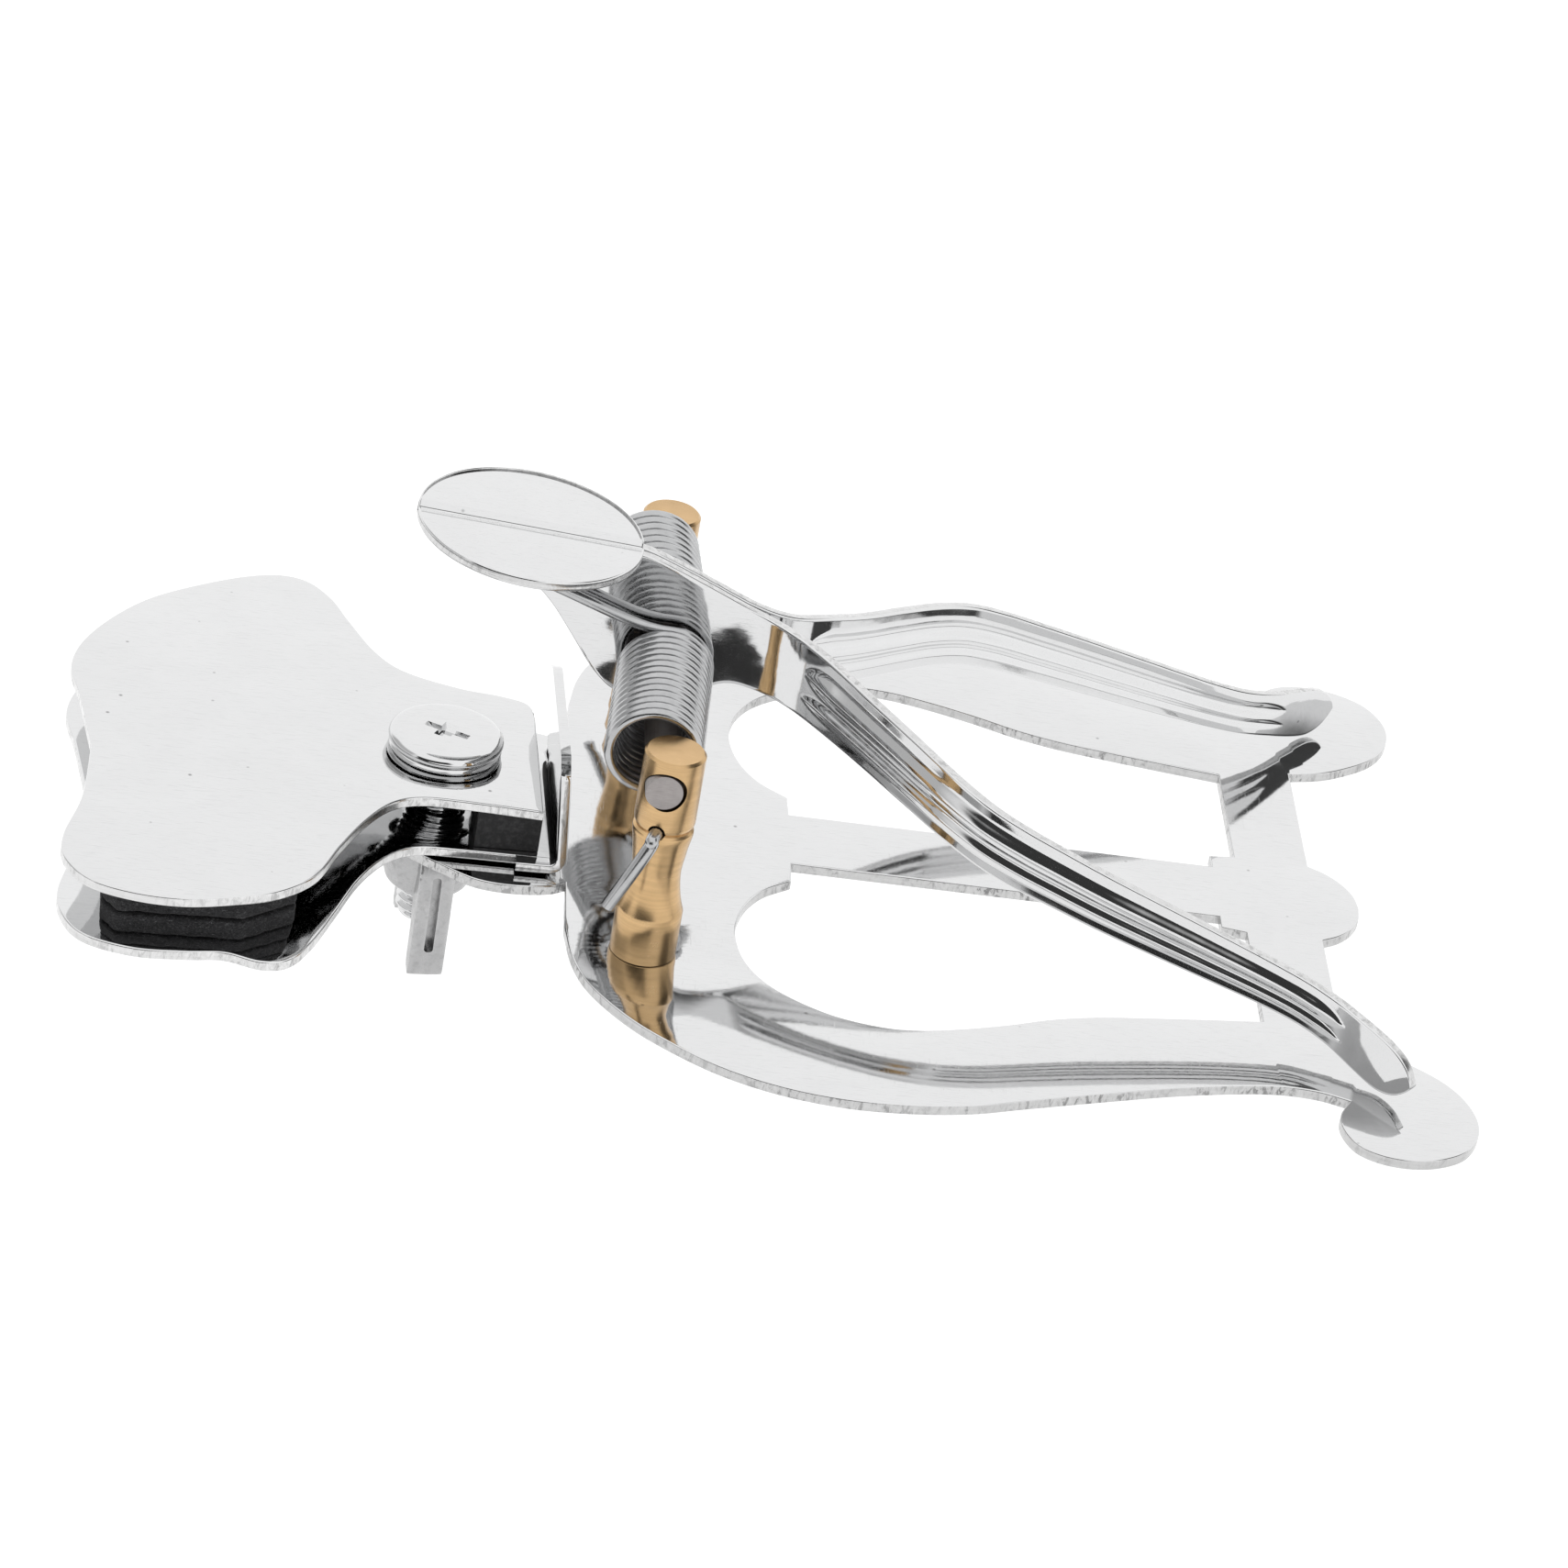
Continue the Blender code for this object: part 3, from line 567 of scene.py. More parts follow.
def nickel(name):
    """Die-cast wing nut under satin nickel: soft grain, rubbed brighter edges, and painted shade darkening its creases.
    """
    m, nt, b = nodes_for(name)
    b.inputs["Metallic"].default_value = 1.0
    grain = noise_tex(nt, coords(nt), 1500.0, 4.0, 0.6, 0.4)
    lump = noise_tex(nt, coords(nt), 420.0, 3.0, 0.55)
    fine = noise_tex(nt, coords(nt), 5200.0, 2.0)
    geo = nt.nodes.new("ShaderNodeNewGeometry")
    # pointiness tone: convex edges kept full bright as rubbed wear, concave creases and hollows darkened as painted
    # shade
    rubbed_edges_and_painted_crease_shade = ramp(nt, geo.outputs["Pointiness"], [(0.47, 0.82), (0.53, 1.0)])
    tone = mix(nt, lump, (0.42, 0.42, 0.425), (0.52, 0.52, 0.52))
    tone = mix(nt, 1.0, tone, ramp(nt, grain, [(0.34, 0.86), (0.5, 1.0)]), "MULTIPLY")
    tone = mix(nt, 1.0, tone, rubbed_edges_and_painted_crease_shade, "MULTIPLY")
    link(nt, tone, b.inputs["Base Color"])
    link(nt, spread(nt, grain, 0.42, 0.18), b.inputs["Roughness"])
    bump(nt, b, [(lump, 0.5, 0.00012), (grain, 0.35, 0.00005), (fine, 0.1, 0.00001)])
    return m


def felt_cloth(name):
    """Pressed black wool felt."""
    m, nt, b = nodes_for(name)
    wool = noise_tex(nt, coords(nt, (1, 1, 2.2)), 4200.0, 5.0, 0.7, 1.6)
    tuft = noise_tex(nt, coords(nt), 900.0, 4.0, 0.6, 0.6)
    tone = ramp(nt, wool, [(0.40, (0.010, 0.010, 0.0105)), (0.55, (0.034, 0.034, 0.036)),
                           (0.68, (0.14, 0.141, 0.145))])
    tone = mix(nt, 1.0, tone, ramp(nt, tuft, [(0.3, 0.55), (0.65, 1.0)]), "MULTIPLY")
    link(nt, tone, b.inputs["Base Color"])
    b.inputs["Roughness"].default_value = 0.95
    b.inputs["Specular IOR Level"].default_value = 0.25
    b.inputs["Sheen Weight"].default_value = 0.06
    b.inputs["Sheen Roughness"].default_value = 0.5
    bump(nt, b, [(tuft, 0.5, 0.0002), (wool, 0.7, 0.00009)])
    return m


def dress(ob, *mats):
    """Gives ob its materials and keeps which faces use which."""
    me = ob.data
    index = [0] * len(me.polygons)
    me.polygons.foreach_get("material_index", index)
    me.materials.clear()
    for m in mats:
        me.materials.append(m)
    me.polygons.foreach_set("material_index", [min(i, len(mats) - 1) for i in index])
    me.update()
    return ob


def place(ob, body, node):
    """ob stands for a CAD node and moves with its body."""
    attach(ob, body)
    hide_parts(node)
    return ob


# ---------------------------------------------------------------- lyre plate
OUTER = [(0.0, 20.5), (0.8, 25.5), (2.4, 29.6), (5.5, 33.8), (9.0, 37.0), (14.0, 40.3), (19.5, 42.4),
         (25.5, 43.3), (31.5, 43.0), (37.0, 41.9), (42.0, 40.1), (49.0, 37.6), (57.0, 34.9),
         (64.5, 33.1), (69.0, 33.0), (72.2, 33.9)]
EAR = [(72.2, 33.9), (71.1, 36.2), (71.0, 38.4), (72.0, 40.8), (74.0, 42.1), (76.6, 42.5), (79.5, 41.9),
       (82.1, 40.2), (83.6, 37.6), (84.0, 34.8), (83.3, 31.8), (81.7, 29.2), (79.3, 27.1), (76.3, 25.3),
       (72.7, 24.2)]
TAB = [(72.7, 6.7), (74.4, 5.6), (75.8, 4.0), (76.7, 2.1), (77.0, 0.0)]
TONGUE = [(0.0, 12.8), (-1.6, 13.7), (-4.8, 14.3), (-8.2, 14.0), (-11.2, 12.4), (-14.8, 10.0),
          (-18.3, 7.0), (-20.4, 3.6), (-21.0, 0.0)]
WINDOW = [(21.4, 7.6), (18.6, 10.0), (16.7, 13.5), (15.9, 18.0), (16.8, 22.8), (19.4, 26.6), (24.0, 29.6),
          (28.6, 30.8), (32.4, 30.7), (36.6, 29.6), (41.0, 28.0), (45.2, 26.2), (49.6, 24.9),
          (54.5, 24.0), (60.0, 23.1), (65.3, 22.3)]


def lyre_outline():
    half = smooth(TONGUE[::-1]) + smooth(OUTER) + smooth(EAR)[1:] + smooth(TAB)
    return [gp(x, y) for x, y in half] + [gp(x, -y) for x, y in half[-2:0:-1]]


def window(side):
    loop = smooth(WINDOW) + [(65.3, 6.8), (62.9, 6.4), (62.9, 4.45), (21.5, 4.45)]
    return [gp(x, side * y) for x, y in loop]


screw_at = clamp_xy(*SCREW_GRID)
holes = [window(1), window(-1), circle(*screw_at, SCREW_HOLE_R)]
for s in (1, -1):
    holes.append(circle(gx(POST_X), s * POST_Y * GRID, TENON_R + GAP, 32))
lyre = sheet_metal("v_lyre_plate", lyre_outline(), -LYRE_T, 0.0, holes)
place(dress(lyre, chrome("m_lyre_chrome"), sheared("m_lyre_edge")), "lyre", "lyre_plate")


# ---------------------------------------------------------------- posts and pin
def leg_hole(side):
    return (Vector((gx(8.3), side * 19.4 * GRID, 0.01345)), Vector((gx(6.3), side * 25.6 * GRID, 0.01255)))


def post(name, side):
    z = 0.00003
    head = POST_R - 0.00022
    profile = [(0.0, POST_H), (head - 0.00022, POST_H), (head, POST_H - 0.00022),
               (head, 0.0160), (head, 0.0129), (head - 0.00004, 0.01268), (head - 0.0002, 0.01245),
               (head - 0.00022, 0.01222), (head - 0.00003, 0.01205), (head, 0.0118),
               (head - 0.00005, 0.01145), (0.00240, 0.0110), (0.00228, 0.0103),
               (0.00221, 0.0096), (0.00211, 0.0089), (POST_NECK_R, 0.0082), (0.00206, 0.0076),
               (0.00213, 0.0069), (0.00223, 0.0062), (0.00237, 0.0055), (0.00253, 0.0049),
               (0.00268, 0.00445), (POST_R, 0.00425), (POST_R, 0.0030), (POST_R, 0.0009), (POST_R, z + 0.00005),
               (POST_R - 0.00005, z), (TENON_R, z),
               (TENON_R, -LYRE_T - GAP), (0.0027, -LYRE_T - GAP), (0.00275, -LYRE_T - GAP - 0.00015),
               (0.0026, -LYRE_T - GAP - 0.0004), (0.0023, -LYRE_T - GAP - 0.00062),
               (0.0018, -LYRE_T - GAP - 0.00084), (0.0010, -LYRE_T - GAP - 0.00096), (0.0, -LYRE_T - GAP - 0.0010)]
    ob = turned(name, profile, 96)
    ob.location = (gx(POST_X), side * POST_Y * GRID, 0.0)
    ob = freeze(ob, name)
    y = POST_Y * GRID
    bx = gx(PIN_X) - 0.00022
    ob = boolean(ob, rod("bore", (bx, side * (y - 0.006), PIN_Z), (bx, side * (y + 0.006), PIN_Z),
                         PIN_R + 0.00018, 64), "DIFFERENCE")
    a, b = leg_hole(side)
    d = (b - a).normalized()
    ob = boolean(ob, rod("leg_bore", a - d * 0.002, b + d * 0.002, WIRE_R + 0.00022, 28), "DIFFERENCE")
    at = Vector((gx(POST_X), side * POST_Y * GRID, 0.0))
    ob.data.transform(Matrix.Translation(-at))
    ob.location = at
    return resharpen(ob, 30)


for nm, side in (("near", -1), ("far", 1)):
    place(dress(post("v_" + nm + "_post", side), brass("m_" + nm + "_brass")), "lyre", nm + "_post")

PIN_END = (POST_Y * GRID + POST_R) - 0.0002
pin = turned("v_pivot_pin", rounded([(0.0, PIN_END), (PIN_R, PIN_END), (PIN_R, -PIN_END), (0.0, -PIN_END)],
                                    0.00016, (1, 2), 3), 64)
pin.rotation_euler = (math.pi / 2, 0, 0)
pin.location = (gx(PIN_X) - 0.00034, 0, PIN_Z)
place(dress(resharpen(freeze(pin, "v_pivot_pin"), 28), sawn("m_pin_steel")), "lyre", "pivot_pin")


# ---------------------------------------------------------------- torsion springs
def spring(name, side):
    y_in = 0.00205
    n = 44
    top = PIN_Z - 0.0002 + COIL_R
    lead = [(gx(-13.2), side * y_in, 0.02515), (gx(-5.0), side * y_in, 0.0229),
            (gx(3.5), side * y_in, top + 0.0003)]
    coil = []
    for k in range(1, COIL_TURNS * n + n // 4 + 8):
        a = math.pi / 2 - 2 * math.pi * k / n
        f = k / (COIL_TURNS * n)
        cx = gx(PIN_X) - 0.0001 - 0.0011 * min(1.0, f)
        cz = PIN_Z - 0.0002 + 0.0005 * min(1.0, f)
        y = y_in + COIL_PITCH * k / n
        coil.append((cx + COIL_R * math.cos(a), side * y, cz + COIL_R * math.sin(a)))
    a, b = leg_hole(side)
    d = (b - a).normalized()
    tail = [(gx(9.2), side * 18.7 * GRID, 0.01385), tuple(a), tuple(b + d * 0.0002),
            (gx(6.0), side * 26.35 * GRID, 0.0119), (gx(4.6), side * 26.75 * GRID, 0.0092),
            (gx(3.0), side * 26.9 * GRID, 0.0061)]
    start = smooth(lead + [coil[1]], 14)[:-1]
    end = smooth([coil[-2]] + tail, 9)[1:]
    pts = start + coil[1:-1] + end
    stub = len(start) + len(coil) - 2 + 12
    return tube(name, pts, lambda i: COIL_WIRE_R if i < stub else COIL_WIRE_R + 0.00012 * min(1.0, (i - stub) / 10), 12)


for nm, side in (("near", -1), ("far", 1)):
    sp = spring("v_" + nm + "_spring", side)
    dress(sp, steel("m_" + nm + "_spring_steel"))
    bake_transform(sp)
    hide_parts(nm + "_torsion_spring")

# ---------------------------------------------------------------- clip lever
ARM_PATH = [(-14.0, 0.67), (0.0, 0.67), (12.0, 0.67), (15.5, 0.8), (18.0, 1.5), (20.0, 2.7), (23.0, 5.3),
            (26.5, 8.8), (30.0, 12.5), (33.5, 16.1), (37.0, 18.9), (40.5, 20.4), (44.5, 21.4),
            (49.0, 22.4), (54.0, 23.3), (59.0, 24.2), (64.0, 25.2), (67.5, 26.3), (70.5, 28.1),
            (73.0, 30.3), (75.5, 32.7), (77.4, 34.5)]
ARM_TOP = [(-14.0, 30.1), (0.0, 29.2), (3.5, 29.0), (6.6, 27.9), (10.8, 26.1), (14.0, 24.7), (17.7, 23.4),
           (21.6, 22.3), (25.6, 20.9), (30.0, 19.6), (38.5, 16.9), (47.3, 14.0), (56.4, 11.1),
           (65.2, 8.3), (70.5, 6.9), (74.0, 5.95), (75.2, 5.5), (76.1, 4.95), (76.8, 4.2), (77.15, 3.55),
           (77.3, 3.1), (77.36, 2.75)]
ARM_BOTTOM = [(-14.0, 29.4), (-11.0, 28.0), (-8.0, 26.0), (-4.7, 23.0), (-2.0, 19.4), (0.0, 16.6),
              (2.0, 14.7), (4.5, 13.8), (7.5, 14.0), (10.0, 15.4), (12.7, 16.6), (15.5, 16.3),
              (18.5, 15.6), (22.5, 14.6), (27.0, 13.5), (33.6, 11.8), (40.6, 9.9), (48.5, 7.7),
              (57.5, 5.4), (66.0, 3.3), (70.0, 2.2), (73.0, 1.0), (74.6, 0.5), (75.6, 0.6),
              (76.4, 1.05), (77.0, 1.75), (77.25, 2.2), (77.36, 2.5)]
RIB_FROM, RIB_TO = 20.2, 71.2
RIB_H = 0.00056
RIB_STEEP = 0.37


def rib(x, v, high):
    """Relief of the two embossed ribs, with rounded ends, at plan X and height fraction v."""
    h = 0.0
    for c, wide in ((0.285, 0.125), (0.62, 0.215)):
        near = min((x - RIB_FROM) / 2.4, (RIB_TO - x) / 2.4)
        w = wide
        if near <= 0:
            continue
        if near < 1:
            w *= math.sqrt(1 - (1 - near) ** 2)
        d = abs(v - c) / max(w, 1e-4)
        if d < 1.0:
            top = min(RIB_H, RIB_STEEP * wide * high)
            h = max(h, top * (0.5 + 0.5 * math.cos(math.pi * d)) * min(1.0, 0.35 + 0.65 * near))
    return h


def arm(name, side):
    cols = []
    x = -14.0
    while x < 77.36:
        cols.append(x)
        step = 0.5
        if 18.5 < x < 24 or 68.5 < x < 75:
            step = 0.22
        elif 34 < x < 42:
            step = 0.35
        elif x >= 75:
            step = max(0.02, (77.4 - x) * 0.13)
        elif 42 <= x < 68.5:
            step = 0.8
        x += step
    cols.append(77.36)
    nv = 44
    seg = 4
    bm = bmesh.new()
    rings = []
    for x in cols:
        y = smooth_at(ARM_PATH, x)
        e = 0.05
        lo, hi = max(-14.0, x - e), min(77.39, x + e)
        dy = (smooth_at(ARM_PATH, hi) - smooth_at(ARM_PATH, lo)) / (hi - lo)
        n = Vector((-dy, 1.0)).normalized()
        zt, zb = smooth_at(ARM_TOP, x) * GRID, smooth_at(ARM_BOTTOM, x) * GRID
        high = zt - zb
        t = LEVER_T / 2
        r = min(0.0002, high * 0.3)
        ring = []

        def put(u, z):
            v = (z - zb) / high
            off = u + rib(x, v, high)
            ring.append(bm.verts.new((gx(x) + n.x * off, side * (y * GRID + n.y * off), z)))

        for k in range(nv + 1):
            put(t, zb + r + (high - 2 * r) * k / nv)
        for k in range(1, seg + 1):
            a = math.pi / 2 * k / seg
            put(t - r * (1 - math.cos(a)), zt - r * (1 - math.sin(a)))
        for k in range(seg):
            a = math.pi / 2 * k / seg
            put(-t + r * (1 - math.sin(a)), zt - r * (1 - math.cos(a)))
        for k in range(nv + 1):
            put(-t, zt - r - (high - 2 * r) * k / nv)
        for k in range(1, seg + 1):
            a = math.pi / 2 * k / seg
            put(-t + r * (1 - math.cos(a)), zb + r * (1 - math.sin(a)))
        for k in range(seg):
            a = math.pi / 2 * k / seg
            put(t - r * (1 - math.sin(a)), zb + r * (1 - math.cos(a)))
        rings.append(ring)
    m = len(rings[0])
    edge = set(range(nv + 1 + 2, nv + 1 + 2 * seg - 3)) | set(range(2 * nv + 2 + 2 * seg + 2, m - 3))
    for a, b in zip(rings[:-1], rings[1:]):
        for i in range(m):
            j = (i + 1) % m
            f = bm.faces.new((a[i], b[i], b[j], a[j]))
            f.material_index = 1 if i in edge else 0
    bm.faces.new(rings[0])
    bm.faces.new(rings[-1])
    bmesh.ops.recalc_face_normals(bm, faces=bm.faces)
    ob = add_object(name, mesh_from(bm, name))
    ob = boolean(ob, rod("web_bore", (gx(PIN_X), side * -0.002, PIN_Z), (gx(PIN_X), side * 0.004, PIN_Z),
                         PIN_BORE_R, 48), "DIFFERENCE")
    resharpen(ob, 40)
    return join(ob, pad(name + "_pad", side))


def pad(name, side):
    """Half of the round finger pad, rolled over from the web along its straight side."""
    seam = 0.00007
    roll = 0.00075
    big = PAD_R * GRID
    bm = bmesh.new()
    rows = [seam + roll * (1 - math.cos(math.pi / 2 * k / 6)) for k in range(7)]
    last = rows[-1]
    rows += [last + (big - last) * math.sin(math.pi / 2 * k / 22) for k in range(1, 23)]
    cols = 72

    def fall(y):
        if y >= seam + roll:
            return 0.0
        q = (seam + roll - y) / roll
        return -roll * (1 - math.sqrt(max(0.0, 1 - q * q)))

    r = 0.00018
    tops, lows = [], []
    # the disc: rows of constant y, each cut to the circle, top and bottom, joined round a rounded rim
    levels = [(r * (1 - math.sin(math.pi / 2 * k / 4)), -r * (1 - math.cos(math.pi / 2 * k / 4)))
              for k in range(4, -1, -1)]
    levels += [(0.0, -LEVER_T + 2 * r)]
    levels += [(r * (1 - math.cos(math.pi / 2 * k / 4)), -LEVER_T + r * (1 - math.sin(math.pi / 2 * k / 4)))
               for k in range(5)]
    n = 64

    def outline(inset, z):
        ring = []
        rr = big - inset
        for k in range(n + 1):
            a = math.pi * k / n
            x, y = rr * math.cos(a), max(seam, rr * math.sin(a))
            ring.append((x, y, z + (fall(y) if z > -LEVER_T * 0.5 else 0.0)))
        return ring

    rings = [[bm.verts.new((x, side * y, z)) for x, y, z in outline(i, z)] for i, z in levels]
    for a, b in zip(rings[:-1], rings[1:]):
        for i in range(n):
            f = bm.faces.new((a[i], a[i + 1], b[i + 1], b[i]))
            f.smooth = True
            f.material_index = 1 if abs((a[i].co.z + b[i].co.z) / 2 + LEVER_T / 2) < LEVER_T / 2 - r * 0.9 else 0
    # the flat top out to the rim, and the rolled strip beside the seam
    rr = big - r
    ys = [y for y in rows if y < rr * math.sin(math.pi * 1 / n)]
    top_rim = rings[0]
    bottom_rim = rings[-1]
    strip_prev = None
    xs_n = 60
    y_flat = seam + roll
    half = math.sqrt(rr * rr - y_flat * y_flat)
    fan = [v for v in top_rim if abs(v.co.y) >= y_flat - 1e-9]
    start = bm.verts.new((half, side * y_flat, 0.0))
    stop = bm.verts.new((-half, side * y_flat, 0.0))
    f = bm.faces.new([start] + fan + [stop])
    f.smooth = False
    prev = None
    for k in range(7):
        y = seam + roll * (1 - math.cos(math.pi / 2 * k / 6)) if k < 6 else y_flat
        h = math.sqrt(rr * rr - y * y)
        z = fall(y)
        row = [bm.verts.new((h * (1 - 2 * i / xs_n), side * y, z)) for i in range(xs_n + 1)]
        if prev is not None:
            for i in range(xs_n):
                f = bm.faces.new((prev[i], prev[i + 1], row[i + 1], row[i]))
                f.smooth = True
        else:
            first = row
        prev = row
    # straight side down to the underside, and the underside
    low = [bm.verts.new((v.co.x, side * seam, -LEVER_T)) for v in first]
    for i in range(xs_n):
        bm.faces.new((first[i], first[i + 1], low[i + 1], low[i]))
    f = bm.faces.new(list(bottom_rim))
    f.smooth = False
    bmesh.ops.remove_doubles(bm, verts=bm.verts, dist=2e-6)
    bmesh.ops.recalc_face_normals(bm, faces=bm.faces)
    tilt = Matrix.Rotation(-math.atan(PAD_SLOPE), 4, "Y")
    bm.transform(Matrix.Translation((gx(PAD_X), 0, PAD_Z)) @ tilt)
    ob = add_object(name, mesh_from(bm, name))
    return ob


arm_chrome, arm_edge = chrome("m_arm_chrome", wave=0.25, roll=0.22), sheared("m_arm_edge", 0.42, 0.66)
for nm, side in (("near", -1), ("far", 1)):
    place(dress(arm("v_" + nm + "_clip_arm", side), arm_chrome, arm_edge), "clip_lever", nm + "_clip_arm")

# ---------------------------------------------------------------- bell clamp plates
FAR_LOBE = [(9.1, 5.6), (8.5, 8.0), (6.0, 9.1), (1.9, 9.9), (-3.2, 12.1), (-6.0, 15.4), (-8.4, 20.8),
            (-10.2, 25.2), (-12.8, 28.2), (-16.4, 28.5), (-21.6, 26.1), (-28.2, 21.2), (-33.0, 14.3),
            (-34.9, 8.0), (-33.9, 1.5), (-32.7, -7.0)]
UPPER_LOBE = [(-32.7, -7.0), (-33.3, -15.8), (-34.8, -22.6), (-34.6, -26.6), (-32.4, -29.8), (-28.6, -31.4),
              (-24.0, -31.8), (-19.4, -30.8), (-15.4, -29.2), (-12.1, -26.0), (-9.9, -20.8), (-7.5, -15.9),
              (-5.0, -12.4), (-2.2, -11.0), (2.0, -11.0), (9.1, -11.6)]
LOWER_LOBE = [(-32.7, -7.0), (-33.4, -16.0), (-34.8, -23.4), (-34.4, -27.6), (-32.4, -30.8), (-28.0, -32.4),
              (-23.4, -32.3), (-19.8, -31.9), (-16.6, -32.9), (-14.0, -32.2), (-11.9, -28.9), (-9.8, -23.6),
              (-7.5, -17.6), (-5.0, -13.4), (-2.2, -11.3), (1.9, -11.0), (11.2, -11.2)]


def clamp_plate(name, lobe, far, z0):
    loop = smooth(far, 9) + smooth(lobe, 9)[1:]
    return sheet_metal(name, [clamp_xy(x, y) for x, y in loop], z0, z0 + CLAMP_T,
                       [circle(*screw_at, SCREW_HOLE_R)], r=0.00016)


upper_plate = clamp_plate("v_upper_clamp_plate", UPPER_LOBE, FAR_LOBE, UPPER_Z)
lower_plate = clamp_plate("v_lower_clamp_plate", LOWER_LOBE, [(11.2, 9.6), (6.0, 9.7)] + FAR_LOBE[3:], LOWER_Z)


def flange():
    """The lower plate's inner end, turned up as a stop."""
    t = 0.00042
    r = 0.0011
    lean = math.radians(5.0)
    x0, x1 = 7.0 * GRID, 11.2 * GRID
    zc = LOWER_Z + CLAMP_T / 2
    mid = [(x0, zc)]
    n = 20
    turn = math.pi / 2 + lean
    for k in range(n + 1):
        a = turn * k / n
        mid.append((x1 - r + r * math.sin(a), zc + r - r * math.cos(a)))
    d = Vector((-math.sin(lean), math.cos(lean)))
    ex, ez = mid[-1]
    run = (FLANGE_H - ez) / d.y
    for k in range(1, 5):
        mid.append((ex + d.x * run * k / 4, ez + d.y * run * k / 4))
    left, right = [], []
    for i, p in enumerate(mid):
        a = Vector(mid[max(0, i - 1)])
        b = Vector(mid[min(len(mid) - 1, i + 1)])
        u = (b - a).normalized()
        left.append((p[0] - u.y * t, p[1] + u.x * t))
        right.append((p[0] + u.y * t, p[1] - u.x * t))
    # round the top corners, as seen along the bend, by narrowing the strip towards its top edge
    half = 0.5 * 20.4 * GRID
    e = 0.00013
    bm = bmesh.new()
    prof = right + [(right[-1][0] * 0.35 + left[-1][0] * 0.65, right[-1][1] * 0.35 + left[-1][1] * 0.65 + 0.00004)] \
        + left[::-1]
    cx = [0.5 * (a[0] + b[0]) for a, b in zip(right, left)]
    cz = [0.5 * (a[1] + b[1]) for a, b in zip(right, left)]
    centre = list(zip(cx, cz))
    mids = centre + [centre[-1]] + centre[::-1]
    rings = []
    rows = [(-half, e), (-half + e * 0.35, e * 0.3), (-half + e, 0.0)]
    rows += [(-half + e + (2 * half - 2 * e) * k / 10, 0.0) for k in range(1, 10)]
    rows += [(half - e, 0.0), (half - e * 0.35, e * 0.3), (half, e)]
    for y, inset in rows:
        ring = []
        for p, c in zip(prof, mids):
            v = Vector(c) - Vector(p)
            q = Vector(p) + (v.normalized() * inset if v.length > 1e-9 else Vector((0, 0)))
            z = q.y
            # rounded upper corners of the strip
            over = max(0.0, abs(y) - (half - 0.0013)) / 0.0013
            cap = FLANGE_H - 0.0013 * (1 - math.sqrt(max(0.0, 1 - over * over)))
            ring.append(bm.verts.new((q.x, y, min(z, cap))))
        rings.append(ring)
    m = len(prof)
    for ra, rb in zip(rings[:-1], rings[1:]):
        for i in range(m):
            j = (i + 1) % m
            bm.faces.new((ra[i], ra[j], rb[j], rb[i]))
    for ring in (rings[0], rings[-1]):
        f = bm.faces.new(ring)
        f.material_index = 1
    bmesh.ops.recalc_face_normals(bm, faces=bm.faces)
    for f in bm.faces:
        f.smooth = True
    bm.transform(Matrix.Translation((*screw_at, 0)) @ Matrix.Rotation(CLAMP_TURN, 4, "Z")
                 @ Matrix.Translation((0, -0.6 * GRID, 0)))
    ob = add_object("flange", mesh_from(bm, "flange"))
    ob.data.set_sharp_from_angle(angle=math.radians(40))
    return ob


lower_plate = join(lower_plate, flange())
plate_chrome, plate_edge = chrome("m_clamp_chrome", pits=0.45), sheared("m_clamp_edge", 0.42, 0.72)
place(dress(upper_plate, plate_chrome, plate_edge), "upper_jaw", "upper_clamp_plate")
place(dress(lower_plate, plate_chrome, plate_edge), "bell_clamp", "lower_clamp_plate")

# ---------------------------------------------------------------- felt pads
FELT = [(-13.6, -26.4), (-13.6, 25.8), (-20.0, 24.6), (-26.5, 19.8), (-31.0, 13.6), (-31.0, -28.2),
        (-29.6, -30.2), (-18.4, -29.9)]


def felt(name, z0, z1):
    """A cut felt pad: rounded top and bottom edges, a fuzzy, slightly uneven surface."""
    loop = [clamp_xy(x, y) for x, y in FELT]
    dense = []
    for a, b in zip(loop, loop[1:] + loop[:1]):
        k = max(2, int((Vector(b) - Vector(a)).length / 0.0006))
        dense += [tuple(Vector(a).lerp(Vector(b), i / k)) for i in range(k)]
    ob = sheet_metal(name, dense, z0, z1, r=0.00007, seg=3)
    m = ob.modifiers.new("even", "REMESH")
    m.mode = "VOXEL"
    m.voxel_size = 0.00024
    ob = freeze(ob, name)
    me = ob.data
    moved = []
    for v in me.vertices:
        p = v.co
        q = v.normal * (noise.noise(p * 2600.0) * 0.00005 + noise.noise(p * 900.0) * 0.00004)
        moved += [p.x + q.x, p.y + q.y, min(max(p.z + q.z, z0), z1)]
    me.vertices.foreach_set("co", moved)
    me.shade_smooth()
    me.update()
    return ob


mid_gap = (LOWER_Z + CLAMP_T + UPPER_Z) / 2
lower_felt = felt("v_lower_felt", LOWER_Z + CLAMP_T + 0.00001, mid_gap - 0.00016)
upper_felt = felt("v_upper_felt", mid_gap + 0.00016, UPPER_Z - 0.00001)
place(dress(lower_felt, felt_cloth("m_lower_felt")), "bell_clamp", "lower_felt_pad")
place(dress(upper_felt, felt_cloth("m_upper_felt")), "upper_jaw", "upper_felt_pad")


